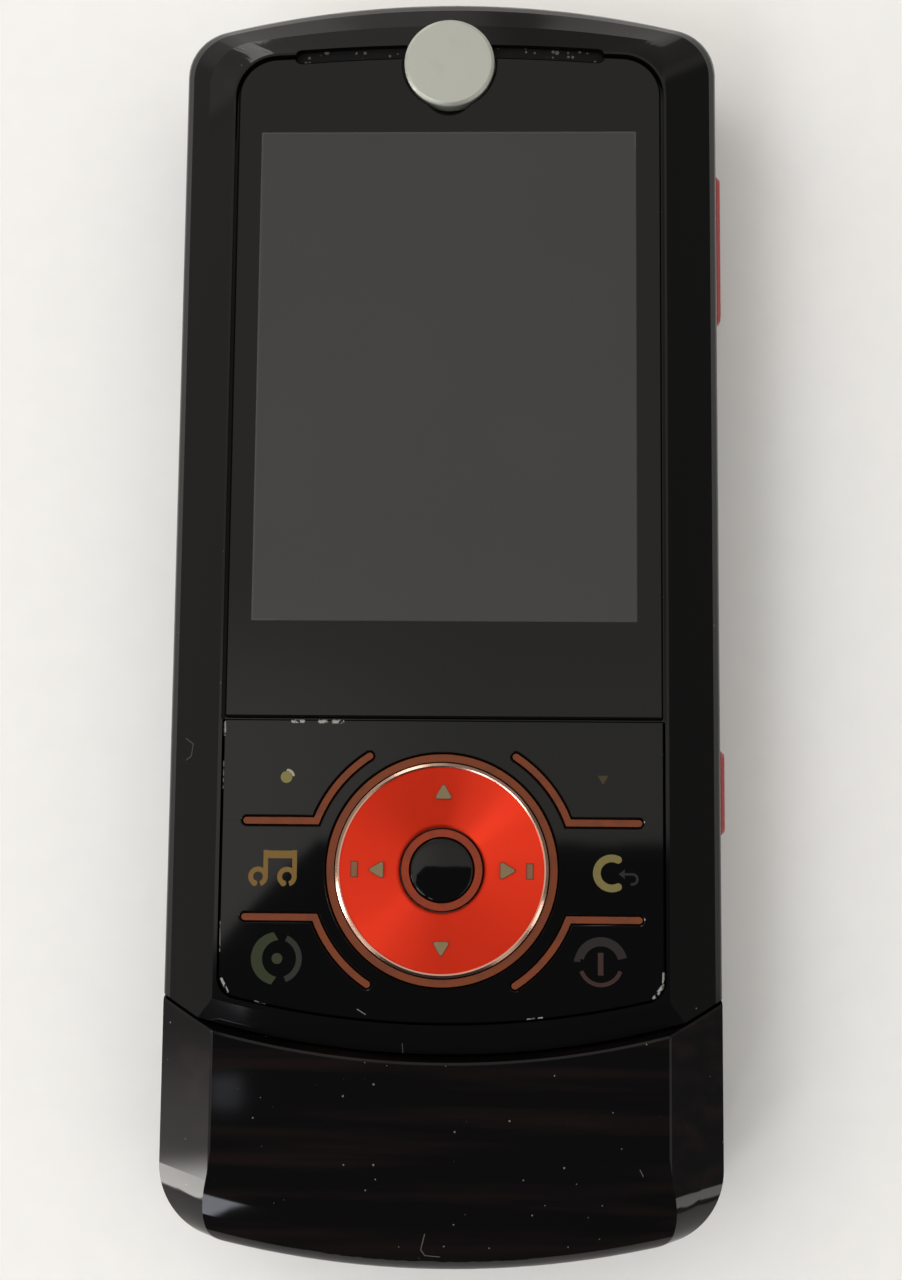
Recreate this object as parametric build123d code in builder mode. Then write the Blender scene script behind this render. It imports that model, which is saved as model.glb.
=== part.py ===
"""Slider phone, closed, lying on its back.

Millimetres. The origin is the centre of the back rest face, +Z runs out of the screen, +Y towards
the earpiece end and +X to the side with the red keys. The upper half (the slider) moves towards +Y
and uncovers the number keys on the deck of the lower half (the base).
"""
from build123d import *
import os
from math import asin, cos, degrees, radians, sin, sqrt

os.makedirs("parts", exist_ok=True)

# ---------------------------------------------------------------- outline of the phone
phone_width = 46.0
phone_length = 107.2
phone_height = 15.7
top_end_radius = 82.0
bottom_end_radius = 80.0
top_corner_radius = 4.2
bottom_corner_radius = 6.0
back_edge_radius = 2.6

# ---------------------------------------------------------------- split into two halves
deck_height = 8.9
slide_gap = 0.3
slide_travel = 36.0
seam_radius = 73.0
chin_length = 18.9
seam_slant = 0.3
seam_gap = 0.4
key_clearance = 0.1
fit_clearance = 0.1
cut_margin = 4.0

# ---------------------------------------------------------------- bevelled front rim
rim_drop = 3.4
rim_land = 0.2
rim_end_radius = 300.0
foot_bevel_width = 2.2
foot_bevel_drop = 1.1
crease_round = 0.5

# ---------------------------------------------------------------- front lens and display
lens_side = 5.0
lens_inset = 6.0
lens_thickness = 1.05
lens_sink = 0.1
lens_gap = 0.25
lens_corner = 3.4
lens_edge = 0.15
display_side = 1.0
display_head_inset = 5.6
display_foot_inset = 5.9
display_thickness = 1.9
gasket_width = 0.5
gasket_thickness = 0.3
disc_radius = 3.85
disc_inset = 0.85
disc_rise = 0.3
disc_bevel = 0.3
disc_relief = 0.12
thumb_notch_radius = 2.1
thumb_notch_drop = 2.4
earpiece_slot_reach = 12.6
earpiece_slot_offset = 0.4
earpiece_slot_radius = 160.0
earpiece_slot_width = 1.15
mesh_thickness = 0.3

# ---------------------------------------------------------------- control panel on the slider
panel_overlap = 0.05
panel_gap = 0.2
panel_foot_land = 0.7
panel_length = 24.5
panel_corner = 1.7
panel_sink = 0.2
cap_edge = 0.12
cap_stroke_room = 0.3
hairline = 0.06
nav_offset = 12.3
nav_ring_radius = 8.7
nav_ring_bore = 3.45
nav_ring_rise = 0.3
nav_ring_dish = 0.45
nav_ring_lip = 0.7
glow_ring_radius = 9.4
select_radius = 2.6
select_dome = 0.25
gimbal_thickness = 0.3
slot_width = 0.55
slot_end_inset = 2.05
slot_offset = 3.9
slot_arc_radius = 11.0
slot_end_angle = 57.0
guide_web = 0.7

# ---------------------------------------------------------------- slider shell and mechanism
slider_wall = 1.6
slider_cavity_rise = 1.8
slider_cavity_land = 0.6
seat_web = 0.5
rear_cover_thickness = 0.8
plate_thickness = 0.4
rail_inset = 8.5
rail_web = 1.6
rail_head = 3.2
rail_head_height = 0.6
rail_clearance = 0.12
channel_wall = 0.4
channel_inset = 4.6
stop_clearance = 0.4
guide_plate_lap = 2.5
guide_plate_thickness = 0.5
slider_board_side = 5.4
slider_board_thickness = 0.6
slider_board_gap = 0.35
key_mat_thickness = 0.4
camera_size = 6.4
camera_x = -7.0
camera_inset = 8.1
camera_depth = 2.2
camera_window_radius = 2.6
flash_x = 0.6
flash_radius = 1.3
earpiece_width = 10.0
earpiece_x = 6.0
earpiece_depth = 3.6
earpiece_height = 1.4
flex_room = 1.85
flex_thickness = 0.15
flex_loop = 9.5
flex_land = 1.5
flex_slider_offset = 14.7
spring_wire = 0.7
spring_inset = 5.9
spring_offset = 26.7
spring_radius = 2.4
spring_leg = 15.0
mechanism_rim = 0.8
cover_web = 0.48
slider_screw_inset = 3.1
slider_screw_head_offset = 15.6
slider_screw_foot_offset = 14.7
slider_screw_head = 1.0
slider_screw_length = 1.6
slider_boss_radius = 1.6
slider_boss_height = 2.2

# ---------------------------------------------------------------- number keys on the deck
column_count = 3
row_count = 4
keypad_side = 3.5
keypad_land = 0.4
row_pitch = 8.5
key_gap = 0.35
digit_thickness = 1.15
digit_sink = 0.05
digit_edge = 0.2
digit_corner = 0.8
keypad_mat_thickness = 0.8
keypad_mat_inset = 0.3
mat_bump_size = 3.4
mat_bump_rise = 0.05

# ---------------------------------------------------------------- base shell
parting_height = 4.6
base_wall = 1.5
deck_thickness = 1.0
chin_reach = 7.0
chin_overrun = 0.15
chin_crease_round = 0.35
chin_seam_edge = 0.15
chin_sink = 0.1
chin_cavity_side = 4.4
chin_cavity_end = 4.6
chin_cavity_gap = 4.1
chin_cavity_top = 12.4
back_skin = 1.2
cover_split_offset = 1.6
cover_height = 2.0
cover_skin = 0.8
cover_rim = 2.0
cover_gap = 0.05
bay_side = 5.5
bay_foot = 9.6
bay_length = 52.4
bay_wall = 1.1
bay_floor = 0.6
bay_lift = 0.6
flange_thickness = 1.0

# ---------------------------------------------------------------- pieces inside the base
board_thickness = 0.8
board_inset = 2.6
shield_width = 18.7
shield_foot_room = 12.3
shield_head_room = 9.6
shield_gap = 2.0
shield_x = 4.7
shield_corner = 0.6
shield_edge = 0.25
shield_height = 1.0
battery_margin = 0.35
battery_thickness = 3.7
battery_corner = 1.2
contact_width = 8.0
contact_length = 2.6
contact_height = 2.4
contact_pitch = 2.4
sim_width = 25.0
sim_length = 15.0
sim_thickness = 0.7
sim_offset = 12.0
sim_notch = 2.0
sim_frame = 1.0
sim_holder_height = 1.05
usb_width = 7.6
usb_depth = 5.4
usb_height = 2.6
usb_wall = 0.35
usb_offset = 6.0
jack_inset = 12.0
jack_bore_radius = 1.78
jack_nose_radius = 2.9
jack_length = 14.0
jack_sink = 0.35
jack_body_width = 6.4
jack_body_height = 5.2
jack_nose_length = 3.0
jack_end_wall = 1.0
speaker_x = 9.0
speaker_inset = 15.6
speaker_dish = 0.4
speaker_size = 13.0
speaker_height = 3.4
motor_radius = 2.1
motor_length = 9.0
motor_inset = 9.5
motor_offset = 12.0
motor_gap = 0.6
microphone_radius = 2.0
microphone_height = 1.3
microphone_inset = 5.2
antenna_height = 5.4
antenna_gap = 0.4
antenna_slot = 6.0
antenna_wall = 1.0
screw_head_radius = 1.3
screw_head_height = 0.7
screw_shank_radius = 0.7
screw_length = 4.6
boss_radius = 2.0
top_screw_side = 4.8
top_screw_inset = 8.0
foot_screw_side = 5.4
foot_screw_inset = 5.7
rocker_inset = 20.4
rocker_length = 13.6
side_key_offset = 19.75
side_key_length = 7.3
side_key_height = 2.4
side_key_bottom = 5.0
side_key_rise = 0.9
side_key_flange = 0.35
side_key_float = 0.2
side_key_lap = 0.6
side_key_edge = 0.3
switch_size = 1.9
switch_length = 3.6
switch_gap = 0.25
switch_height = 1.1

# ---------------------------------------------------------------- places along and across that follow
half_width = phone_width / 2
top_apex = phone_length / 2
bottom_apex = -phone_length / 2
seam_apex = bottom_apex + chin_length
lens_width = 2 * (half_width - lens_side)
display_width = lens_width - 2 * display_side
panel_width = lens_width + 2 * panel_overlap
slot_reach = panel_width / 2 - slot_end_inset
slider_board_width = 2 * (half_width - slider_board_side)
bay_width = 2 * (half_width - bay_side)
panel_bottom = seam_apex + panel_foot_land
panel_top = panel_bottom + panel_length
nav_centre = panel_bottom + nav_offset
lens_top = top_apex - lens_inset
lens_bottom = panel_top + panel_gap
display_top = lens_top - display_head_inset
display_length = display_top - lens_bottom - display_foot_inset
display_centre = display_top - display_length / 2
disc_centre = lens_top - disc_inset
earpiece_slot_centre = lens_top + earpiece_slot_offset
camera_y = top_apex - camera_inset
keypad_width = 2 * (half_width - keypad_side)
keypad_start = seam_apex + keypad_land
keypad_end = keypad_start + row_count * row_pitch
chin_flat_end = bottom_apex + chin_reach
chin_cavity_start = seam_apex - chin_cavity_gap
bay_bottom = bottom_apex + bay_foot
bay_top = bay_bottom + bay_length
bay_centre = bay_bottom + bay_length / 2
cover_split = bay_top + cover_split_offset
usb_centre = cover_split + usb_offset
motor_x = motor_inset - half_width
motor_y = cover_split + motor_offset
sim_centre = bay_bottom + sim_offset
jack_x = jack_inset - half_width
speaker_y = top_apex - speaker_inset
microphone_y = bottom_apex + microphone_inset
shield_foot = keypad_end + shield_foot_room
shield_length = (top_apex - shield_head_room - shield_foot - shield_gap) / 2
shield_centres = (shield_foot + shield_length / 2, shield_foot + shield_gap + shield_length * 3 / 2)
top_screw_x = half_width - top_screw_side
top_screw_y = top_apex - top_screw_inset
foot_screw_x = half_width - foot_screw_side
foot_screw_y = bottom_apex + foot_screw_inset
rocker_centre = top_apex - rocker_inset
side_key_centre = seam_apex + side_key_offset
rail_spacing = 2 * (half_width - rail_inset)
channel_half = rail_head / 2 + rail_clearance + channel_wall
channel_top = top_apex - channel_inset
guide_plate_width = rail_spacing + 2 * guide_plate_lap
mechanism_width = rail_spacing - 2 * (channel_half + fit_clearance + cover_web)
spring_x = rail_spacing / 2 - spring_inset
spring_y = seam_apex + spring_offset
flex_width = 2 * (spring_x - spring_radius - spring_wire / 2 - flex_room)
flex_slider_end = seam_apex + flex_slider_offset
slider_screw_x = half_width - slider_screw_inset
slider_screw_y = (top_apex - slider_screw_head_offset, seam_apex + slider_screw_foot_offset)

# ---------------------------------------------------------------- heights that follow
slider_bottom = deck_height + slide_gap
crease_height = phone_height - rim_drop
lens_face = phone_height - lens_sink
lens_seat = lens_face - lens_thickness
rim_half = lens_width / 2 + lens_gap + rim_land
rim_side = half_width - rim_half
rim_top = top_apex - (lens_top + lens_gap + rim_land)
frame_bottom = slider_bottom + rear_cover_thickness
cavity_crease = frame_bottom + 1.0
cavity_ceiling = lens_seat - seat_web
cavity_end = seam_apex + slider_wall
head_top = frame_bottom + rail_head_height
plate_bottom = head_top + rail_clearance + 0.1
plate_top = plate_bottom + plate_thickness
slider_board_bottom = plate_top + slider_board_gap
slider_board_top = slider_board_bottom + slider_board_thickness
guide_bottom = slider_board_top + key_mat_thickness
guide_top = guide_bottom + guide_web
panel_face = phone_height - panel_sink
cap_bottom = guide_top + cap_stroke_room
ring_bottom = cap_bottom + gimbal_thickness + cap_stroke_room
ring_top = panel_face + nav_ring_rise
guide_tip = panel_face - 0.1
display_bottom = lens_seat - gasket_thickness - display_thickness
channel_reach = rail_spacing / 2 + channel_half
channel_foot = cavity_end + seam_radius - sqrt(seam_radius**2 - channel_reach**2) + 3 * fit_clearance
channel_length = channel_top - channel_foot
rail_length = channel_length - slide_travel - 2 * stop_clearance
rail_end = channel_top - stop_clearance
rail_middle = rail_end - rail_length / 2
flex_base_end = rail_end - rail_length + flex_land
flex_bend = flex_base_end + flex_loop
rail_places = (-rail_spacing / 2, rail_spacing / 2)
channel_middle = channel_top - channel_length / 2
digit_top = deck_height - digit_sink
digit_bottom = digit_top - digit_thickness
bay_ceiling = parting_height + bay_lift
bay_outer_top = bay_ceiling + bay_floor
board_bottom = bay_outer_top
board_top = board_bottom + board_thickness
deck_bottom = deck_height - deck_thickness
battery_bottom = cover_skin + fit_clearance
jack_mouth = top_apex - jack_sink - top_end_radius + sqrt(top_end_radius**2 - jack_x**2)
jack_back = jack_mouth - jack_length - jack_end_wall
spring_height = (deck_height + plate_bottom) / 2
screw_places = [
    (sign * x, y)
    for x, y in ((top_screw_x, top_screw_y), (foot_screw_x, foot_screw_y))
    for sign in (-1, 1)
]
slider_screw_places = [(sign * slider_screw_x, y) for y in slider_screw_y for sign in (-1, 1)]


# ---------------------------------------------------------------- shared outlines
def phone_outline(height, side=0.0, top=0.0, bottom=0.0, end_radius=top_end_radius,
                  corner=top_corner_radius):
    """Plan of the phone at a height, with the sides and ends moved in."""
    half = half_width - side
    top_y = top_apex - top
    bottom_y = bottom_apex + bottom
    top_shoulder = top_y - end_radius + sqrt(end_radius**2 - half**2)
    bottom_shoulder = bottom_y + bottom_end_radius - sqrt(bottom_end_radius**2 - half**2)
    with BuildSketch(Plane.XY.offset(height)) as plan:
        with BuildLine():
            ThreePointArc((-half, top_shoulder), (0, top_y), (half, top_shoulder))
            Line((half, top_shoulder), (half, bottom_shoulder))
            ThreePointArc((half, bottom_shoulder), (0, bottom_y), (-half, bottom_shoulder))
            Line((-half, bottom_shoulder), (-half, top_shoulder))
        make_face()
        fillet(plan.vertices().group_by(Axis.Y)[-1], corner)
        fillet(plan.vertices().group_by(Axis.Y)[0], bottom_corner_radius)
    return plan.sketch


def seam_side(height, apex, direction):
    """Everything on one side of the curved seam between slider and chin."""
    half = half_width + cut_margin
    lift = seam_radius - sqrt(seam_radius**2 - half**2)
    far = apex + direction * phone_length
    with BuildSketch(Plane.XY.offset(height)) as plan:
        with BuildLine():
            ThreePointArc((-half, apex + lift), (0, apex), (half, apex + lift))
            Line((half, apex + lift), (half, far))
            Line((half, far), (-half, far))
            Line((-half, far), (-half, apex + lift))
        make_face()
    return plan.sketch


def chin_hollow(height):
    """Plan of the room inside the chin."""
    with BuildSketch(Plane.XY.offset(height)) as plan:
        add(phone_outline(height, side=chin_cavity_side, bottom=chin_cavity_end))
        with Locations((0, chin_cavity_start + phone_length / 2)):
            Rectangle(2 * phone_width, phone_length, mode=Mode.SUBTRACT)
    return plan.sketch


def lens_outline(height, grow=0.0):
    """Plan of the lens: straight sides, nearly straight top and rounded top corners."""
    half = lens_width / 2 + grow
    top_y = lens_top + grow
    shoulder = top_y - rim_end_radius + sqrt(rim_end_radius**2 - half**2)
    with BuildSketch(Plane.XY.offset(height)) as plan:
        with BuildLine():
            ThreePointArc((-half, shoulder), (0, top_y), (half, shoulder))
            Line((half, shoulder), (half, lens_bottom - grow))
            Line((half, lens_bottom - grow), (-half, lens_bottom - grow))
            Line((-half, lens_bottom - grow), (-half, shoulder))
        make_face()
        fillet(plan.vertices().group_by(Axis.Y)[-1], lens_corner + grow)
    return plan.sketch


def panel_outline(height, grow=0.0):
    """Plan of the control panel: straight top, curved foot with rounded corners."""
    half = panel_width / 2 + grow
    foot = panel_bottom - grow
    shoulder = foot + seam_radius - sqrt(seam_radius**2 - half**2)
    with BuildSketch(Plane.XY.offset(height)) as plan:
        with BuildLine():
            Line((-half, panel_top), (half, panel_top))
            Line((half, panel_top), (half, shoulder))
            ThreePointArc((half, shoulder), (0, foot), (-half, shoulder))
            Line((-half, shoulder), (-half, panel_top))
        make_face()
        fillet(plan.vertices().group_by(Axis.Y)[0], panel_corner + grow)
    return plan.sketch


def slot_point(side, end, angle):
    """Point on the arc of a light line, for the side and end of the panel it is on."""
    return (
        side * slot_arc_radius * cos(radians(angle)),
        nav_centre + end * slot_arc_radius * sin(radians(angle)),
    )


def light_lines(height, width):
    """The four light lines: a straight run, then an arc round the ring, with round ends."""
    knee_angle = degrees(asin(slot_offset / slot_arc_radius))
    with BuildSketch(Plane.XY.offset(height)) as plan:
        for side in (-1, 1):
            for end in (-1, 1):
                start = (side * slot_reach, nav_centre + end * slot_offset)
                knee = slot_point(side, end, knee_angle)
                middle = slot_point(side, end, (knee_angle + slot_end_angle) / 2)
                tip = slot_point(side, end, slot_end_angle)
                with BuildLine():
                    Line(start, knee)
                    ThreePointArc(knee, middle, tip)
                trace(line_width=width)
                with Locations(start, knee, tip):
                    Circle(width / 2)
    return plan.sketch


def cap_seams(height):
    """Hairlines that part the panel into its six key caps."""
    with BuildSketch(Plane.XY.offset(height)) as plan:
        with Locations((0, nav_centre)):
            Rectangle(hairline, phone_length)
        for side in (-1, 1):
            for end in (-1, 1):
                line_y = nav_centre + end * slot_offset
                with BuildLine():
                    Line((side * slot_reach, line_y), (side * panel_width, line_y))
                trace(line_width=hairline)
                with BuildLine():
                    Line(slot_point(side, end, slot_end_angle), (0, nav_centre))
                trace(line_width=hairline)
    return plan.sketch


def earpiece_slot(height, grow=0.0):
    """Curved slot between the lens and the rim, behind the disc."""
    bow = earpiece_slot_radius - sqrt(earpiece_slot_radius**2 - earpiece_slot_reach**2)
    ends = [(side * earpiece_slot_reach, earpiece_slot_centre - bow) for side in (-1, 1)]
    with BuildSketch(Plane.XY.offset(height)) as plan:
        with BuildLine():
            ThreePointArc(ends[0], (0, earpiece_slot_centre), ends[1])
        trace(line_width=earpiece_slot_width + 2 * grow)
        with Locations(*ends):
            Circle(earpiece_slot_width / 2 + grow)
    return plan.sketch


def digit_face(height, row, column, shrink=0.0):
    """Plan of a number key: upright sides, top and foot curved like the seam."""
    pitch = keypad_width / column_count
    left = -keypad_width / 2 + column * pitch + key_gap / 2 + shrink
    right = left + pitch - key_gap - 2 * shrink
    foot = keypad_start + row * row_pitch + key_gap / 2 + shrink
    head = foot + row_pitch - key_gap - 2 * shrink

    def on_arc(x, apex):
        return (x, apex + seam_radius - sqrt(seam_radius**2 - x**2))

    middle = (left + right) / 2
    with BuildSketch(Plane.XY.offset(height)) as plan:
        with BuildLine():
            ThreePointArc(on_arc(left, head), on_arc(middle, head), on_arc(right, head))
            Line(on_arc(right, head), on_arc(right, foot))
            ThreePointArc(on_arc(right, foot), on_arc(middle, foot), on_arc(left, foot))
            Line(on_arc(left, foot), on_arc(left, head))
        make_face()
        fillet(plan.vertices(), digit_corner)
    return plan.sketch


def keypad_field(height, grow=0.0):
    """Plan of the whole number keypad."""
    half = keypad_width / 2 + grow
    foot = keypad_start - grow
    head = keypad_start + row_count * row_pitch + grow
    rise = seam_radius - sqrt(seam_radius**2 - half**2)
    with BuildSketch(Plane.XY.offset(height)) as plan:
        with BuildLine():
            ThreePointArc((-half, head + rise), (0, head), (half, head + rise))
            Line((half, head + rise), (half, foot + rise))
            ThreePointArc((half, foot + rise), (0, foot), (-half, foot + rise))
            Line((-half, foot + rise), (-half, head + rise))
        make_face()
    return plan.sketch


def save(piece, name):
    """Label a finished piece and write its file."""
    piece.label = name
    export_step(piece, f"parts/{name}.step")


# ================================================================ base: the lower half

# ---- front housing of the base: deck and side walls
with BuildPart() as base_front_housing:
    extrude(phone_outline(parting_height), amount=deck_height - parting_height)
    # hollow under the deck, open to the chin
    extrude(
        phone_outline(parting_height, side=base_wall, top=base_wall, bottom=base_wall),
        amount=deck_bottom - parting_height,
        mode=Mode.SUBTRACT,
    )
    extrude(chin_hollow(deck_bottom), amount=deck_thickness, mode=Mode.SUBTRACT)
    # keypad opening, pocket of the guide plate and the flex cable's slit
    extrude(keypad_field(deck_bottom), amount=deck_thickness, mode=Mode.SUBTRACT)
    with BuildSketch(Plane.XY.offset(deck_height - guide_plate_thickness)):
        with Locations((0, rail_middle)):
            Rectangle(guide_plate_width, rail_length)
    extrude(amount=guide_plate_thickness, mode=Mode.SUBTRACT)
    with BuildSketch(Plane.XY.offset(deck_bottom)):
        with Locations((0, flex_base_end)):
            Rectangle(flex_width + 2 * fit_clearance, 4 * flex_thickness)
    extrude(amount=deck_thickness, mode=Mode.SUBTRACT)
    # screw bosses
    with BuildSketch(Plane.XY.offset(parting_height)):
        with Locations(*screw_places):
            Circle(boss_radius)
            Circle(screw_shank_radius + fit_clearance / 2, mode=Mode.SUBTRACT)
    extrude(amount=deck_bottom - parting_height)
    # openings for the side keys, the data socket and the headset jack
    with BuildSketch(Plane.YZ.offset(half_width - 2 * base_wall)):
        with Locations((rocker_centre, side_key_bottom + side_key_height / 2)):
            RectangleRounded(rocker_length + 2 * key_clearance,
                             side_key_height + 2 * key_clearance, side_key_height / 3)
        with Locations((side_key_centre, side_key_bottom + side_key_height / 2)):
            RectangleRounded(side_key_length + 2 * key_clearance,
                             side_key_height + 2 * key_clearance, side_key_height / 3)
    extrude(amount=3 * base_wall, mode=Mode.SUBTRACT)
    with BuildSketch(Plane.YZ.offset(-half_width - base_wall)):
        with Locations((usb_centre, board_bottom - usb_height / 2)):
            Rectangle(usb_width + 2 * fit_clearance, usb_height + 2 * fit_clearance)
    extrude(amount=3 * base_wall, mode=Mode.SUBTRACT)
    with BuildSketch(Plane.XZ.offset(-top_apex - 1)):
        with Locations((jack_x, parting_height)):
            Circle(jack_nose_radius + fit_clearance / 2)
    extrude(amount=jack_nose_length + cut_margin, mode=Mode.SUBTRACT)
save(base_front_housing.part, "base_front_housing")

# ---- chin cover: bevelled like the slider, turned down to the foot in an elliptical sweep
with BuildPart() as chin_cover:
    extrude(phone_outline(deck_height), amount=crease_height - deck_height)
    loft(
        [
            phone_outline(crease_height),
            phone_outline(phone_height - chin_sink, side=rim_side, top=rim_top,
                          end_radius=rim_end_radius, corner=lens_corner + lens_gap + rim_land),
        ],
        ruled=True,
    )
    fillet(chin_cover.faces().sort_by(Axis.Z)[-1].edges(), chin_crease_round)
    # the slider's room above the deck, behind the slanted seam
    extrude(
        seam_side(deck_height, seam_apex - seam_gap, 1),
        amount=phone_height,
        dir=(0, -seam_slant, 1),
        mode=Mode.SUBTRACT,
    )
    with BuildSketch(Plane.YZ) as chin_air:
        with BuildLine():
            chin_top = phone_height - chin_sink
            foot_end = chin_flat_end - chin_reach - chin_overrun
            EllipticalCenterArc((chin_flat_end, crease_height), chin_reach + chin_overrun,
                                chin_top - crease_height, start_angle=90, arc_size=90)
            Line((foot_end, crease_height), (foot_end - cut_margin, crease_height))
            Line((foot_end - cut_margin, crease_height),
                 (foot_end - cut_margin, phone_height + cut_margin))
            Line((foot_end - cut_margin, phone_height + cut_margin),
                 (chin_flat_end, phone_height + cut_margin))
            Line((chin_flat_end, phone_height + cut_margin), (chin_flat_end, chin_top))
        make_face()
    revolve(
        axis=Axis((0, bottom_apex + bottom_end_radius, 0), (0, 0, 1)),
        revolution_arc=360,
        mode=Mode.SUBTRACT,
    )
    chamfer(chin_cover.faces().filter_by(Axis.Z).sort_by(Axis.Z)[-1].edges().sort_by(Axis.Y)[-1],
            chin_seam_edge)
    extrude(chin_hollow(deck_height), amount=chin_cavity_top - deck_height, mode=Mode.SUBTRACT)
save(chin_cover.part, "chin_cover")

# ---- rear housing of the base: back shell and battery bay
with BuildPart() as base_rear_housing:
    extrude(phone_outline(0), amount=parting_height)
    fillet(base_rear_housing.faces().sort_by(Axis.Z)[0].edges(), back_edge_radius)
    extrude(
        phone_outline(back_skin, side=base_wall, top=base_wall, bottom=base_wall),
        amount=parting_height - back_skin,
        mode=Mode.SUBTRACT,
    )
    # room of the battery cover, below a flange that closes the shell round the bay
    with BuildSketch():
        with Locations((0, cover_split - phone_length / 2)):
            Rectangle(2 * phone_width, phone_length)
    extrude(amount=cover_height, mode=Mode.SUBTRACT)
    with BuildSketch(Plane.XY.offset(cover_height)):
        add(phone_outline(cover_height, side=base_wall / 2, bottom=base_wall / 2))
        with Locations((0, cover_split + bay_wall + phone_length / 2)):
            Rectangle(2 * phone_width, phone_length, mode=Mode.SUBTRACT)
    extrude(amount=flange_thickness)
    # wall between the bay and the closed part of the shell
    with BuildSketch(Plane.XY.offset(back_skin)):
        with Locations((0, cover_split + bay_wall / 2)):
            Rectangle(phone_width - base_wall, bay_wall)
    extrude(amount=parting_height - back_skin)
    # bay tub
    with BuildSketch(Plane.XY.offset(cover_height)):
        with Locations((0, bay_centre)):
            Rectangle(bay_width + 2 * bay_wall, bay_length + 2 * bay_wall)
    extrude(amount=bay_outer_top - cover_height)
    with BuildSketch():
        with Locations((0, bay_centre)):
            Rectangle(bay_width, bay_length)
    extrude(amount=bay_ceiling, mode=Mode.SUBTRACT)
    # window for the SIM holder and notch for the battery contacts
    with BuildSketch(Plane.XY.offset(bay_ceiling)):
        with Locations((0, sim_centre)):
            Rectangle(sim_width + 2 * (sim_frame + fit_clearance),
                      sim_length + 2 * (sim_frame + fit_clearance))
    extrude(amount=bay_floor, mode=Mode.SUBTRACT)
    with BuildSketch(Plane.XY.offset(cover_height + flange_thickness)):
        with Locations((0, bay_top + contact_length / 2)):
            Rectangle(contact_width + 2 * fit_clearance, contact_length + 2 * fit_clearance)
    extrude(amount=bay_outer_top, mode=Mode.SUBTRACT)
    # screw bosses with sunk heads
    with BuildSketch(Plane.XY.offset(back_skin)):
        with Locations((-top_screw_x, top_screw_y), (top_screw_x, top_screw_y)):
            Circle(boss_radius)
    extrude(amount=parting_height - back_skin)
    with BuildSketch(Plane.XY.offset(cover_height)):
        with Locations((-foot_screw_x, foot_screw_y), (foot_screw_x, foot_screw_y)):
            Circle(boss_radius)
    extrude(amount=parting_height - cover_height)
    with BuildSketch():
        with Locations(*screw_places):
            Circle(screw_shank_radius + fit_clearance)
    extrude(amount=parting_height, mode=Mode.SUBTRACT)
    for screw_y, rim in ((top_screw_y, 0.0), (foot_screw_y, cover_height)):
        with BuildSketch(Plane.XY.offset(rim)):
            with Locations((-foot_screw_x if rim else -top_screw_x, screw_y),
                           (foot_screw_x if rim else top_screw_x, screw_y)):
                Circle(screw_head_radius + fit_clearance)
        extrude(amount=screw_head_height, mode=Mode.SUBTRACT)
    # sound slits of the loudspeaker
    with BuildSketch():
        with Locations((speaker_x, speaker_y)):
            with GridLocations(0, speaker_size / 6, 1, 4):
                SlotOverall(speaker_size * 0.7, speaker_size / 12)
    extrude(amount=back_skin, mode=Mode.SUBTRACT)
    # openings for the data socket and the headset jack
    with BuildSketch(Plane.YZ.offset(-half_width - base_wall)):
        with Locations((usb_centre, board_bottom - usb_height / 2)):
            Rectangle(usb_width + 2 * fit_clearance, usb_height + 2 * fit_clearance)
    extrude(amount=3 * base_wall, mode=Mode.SUBTRACT)
    with BuildSketch(Plane.XZ.offset(-top_apex - 1)):
        with Locations((jack_x, parting_height)):
            Circle(jack_nose_radius + fit_clearance / 2)
    extrude(amount=jack_nose_length + cut_margin, mode=Mode.SUBTRACT)
save(base_rear_housing.part, "base_rear_housing")

# ---- battery cover: slides off towards the chin end
with BuildPart() as battery_cover:
    extrude(phone_outline(0), amount=parting_height)
    fillet(battery_cover.faces().sort_by(Axis.Z)[0].edges(), back_edge_radius)
    with BuildSketch():
        with Locations((0, cover_split - cover_gap + phone_length / 2)):
            Rectangle(2 * phone_width, phone_length)
    extrude(amount=parting_height, mode=Mode.SUBTRACT)
    with BuildSketch(Plane.XY.offset(cover_height - cover_gap)):
        Rectangle(2 * phone_width, 2 * phone_length)
    extrude(amount=parting_height, mode=Mode.SUBTRACT)
    with BuildSketch(Plane.XY.offset(cover_skin)):
        add(phone_outline(cover_skin, side=cover_rim + back_edge_radius / 2,
                          bottom=cover_rim + back_edge_radius / 2))
    extrude(amount=cover_height, mode=Mode.SUBTRACT)
save(battery_cover.part, "battery_cover")

# ---- battery with its three pads, and the contact block that meets them
with BuildPart() as battery:
    with BuildSketch(Plane.XY.offset(battery_bottom)):
        with Locations((0, bay_centre)):
            RectangleRounded(bay_width - 2 * battery_margin, bay_length - 2 * battery_margin,
                             battery_corner)
    extrude(amount=battery_thickness)
save(battery.part, "battery")

with BuildPart() as battery_contacts:
    with BuildSketch(Plane.XY.offset(board_bottom)):
        with Locations((0, bay_top + contact_length / 2)):
            Rectangle(contact_width, contact_length)
    extrude(amount=-contact_height)
    with BuildSketch(Plane.XZ.offset(-bay_top)):
        with Locations((0, board_bottom - contact_height / 2)):
            with GridLocations(contact_pitch, 0, 3, 1):
                Rectangle(contact_pitch / 3, contact_height / 2)
    extrude(amount=battery_margin - fit_clearance)
save(battery_contacts.part, "battery_contacts")

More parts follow.
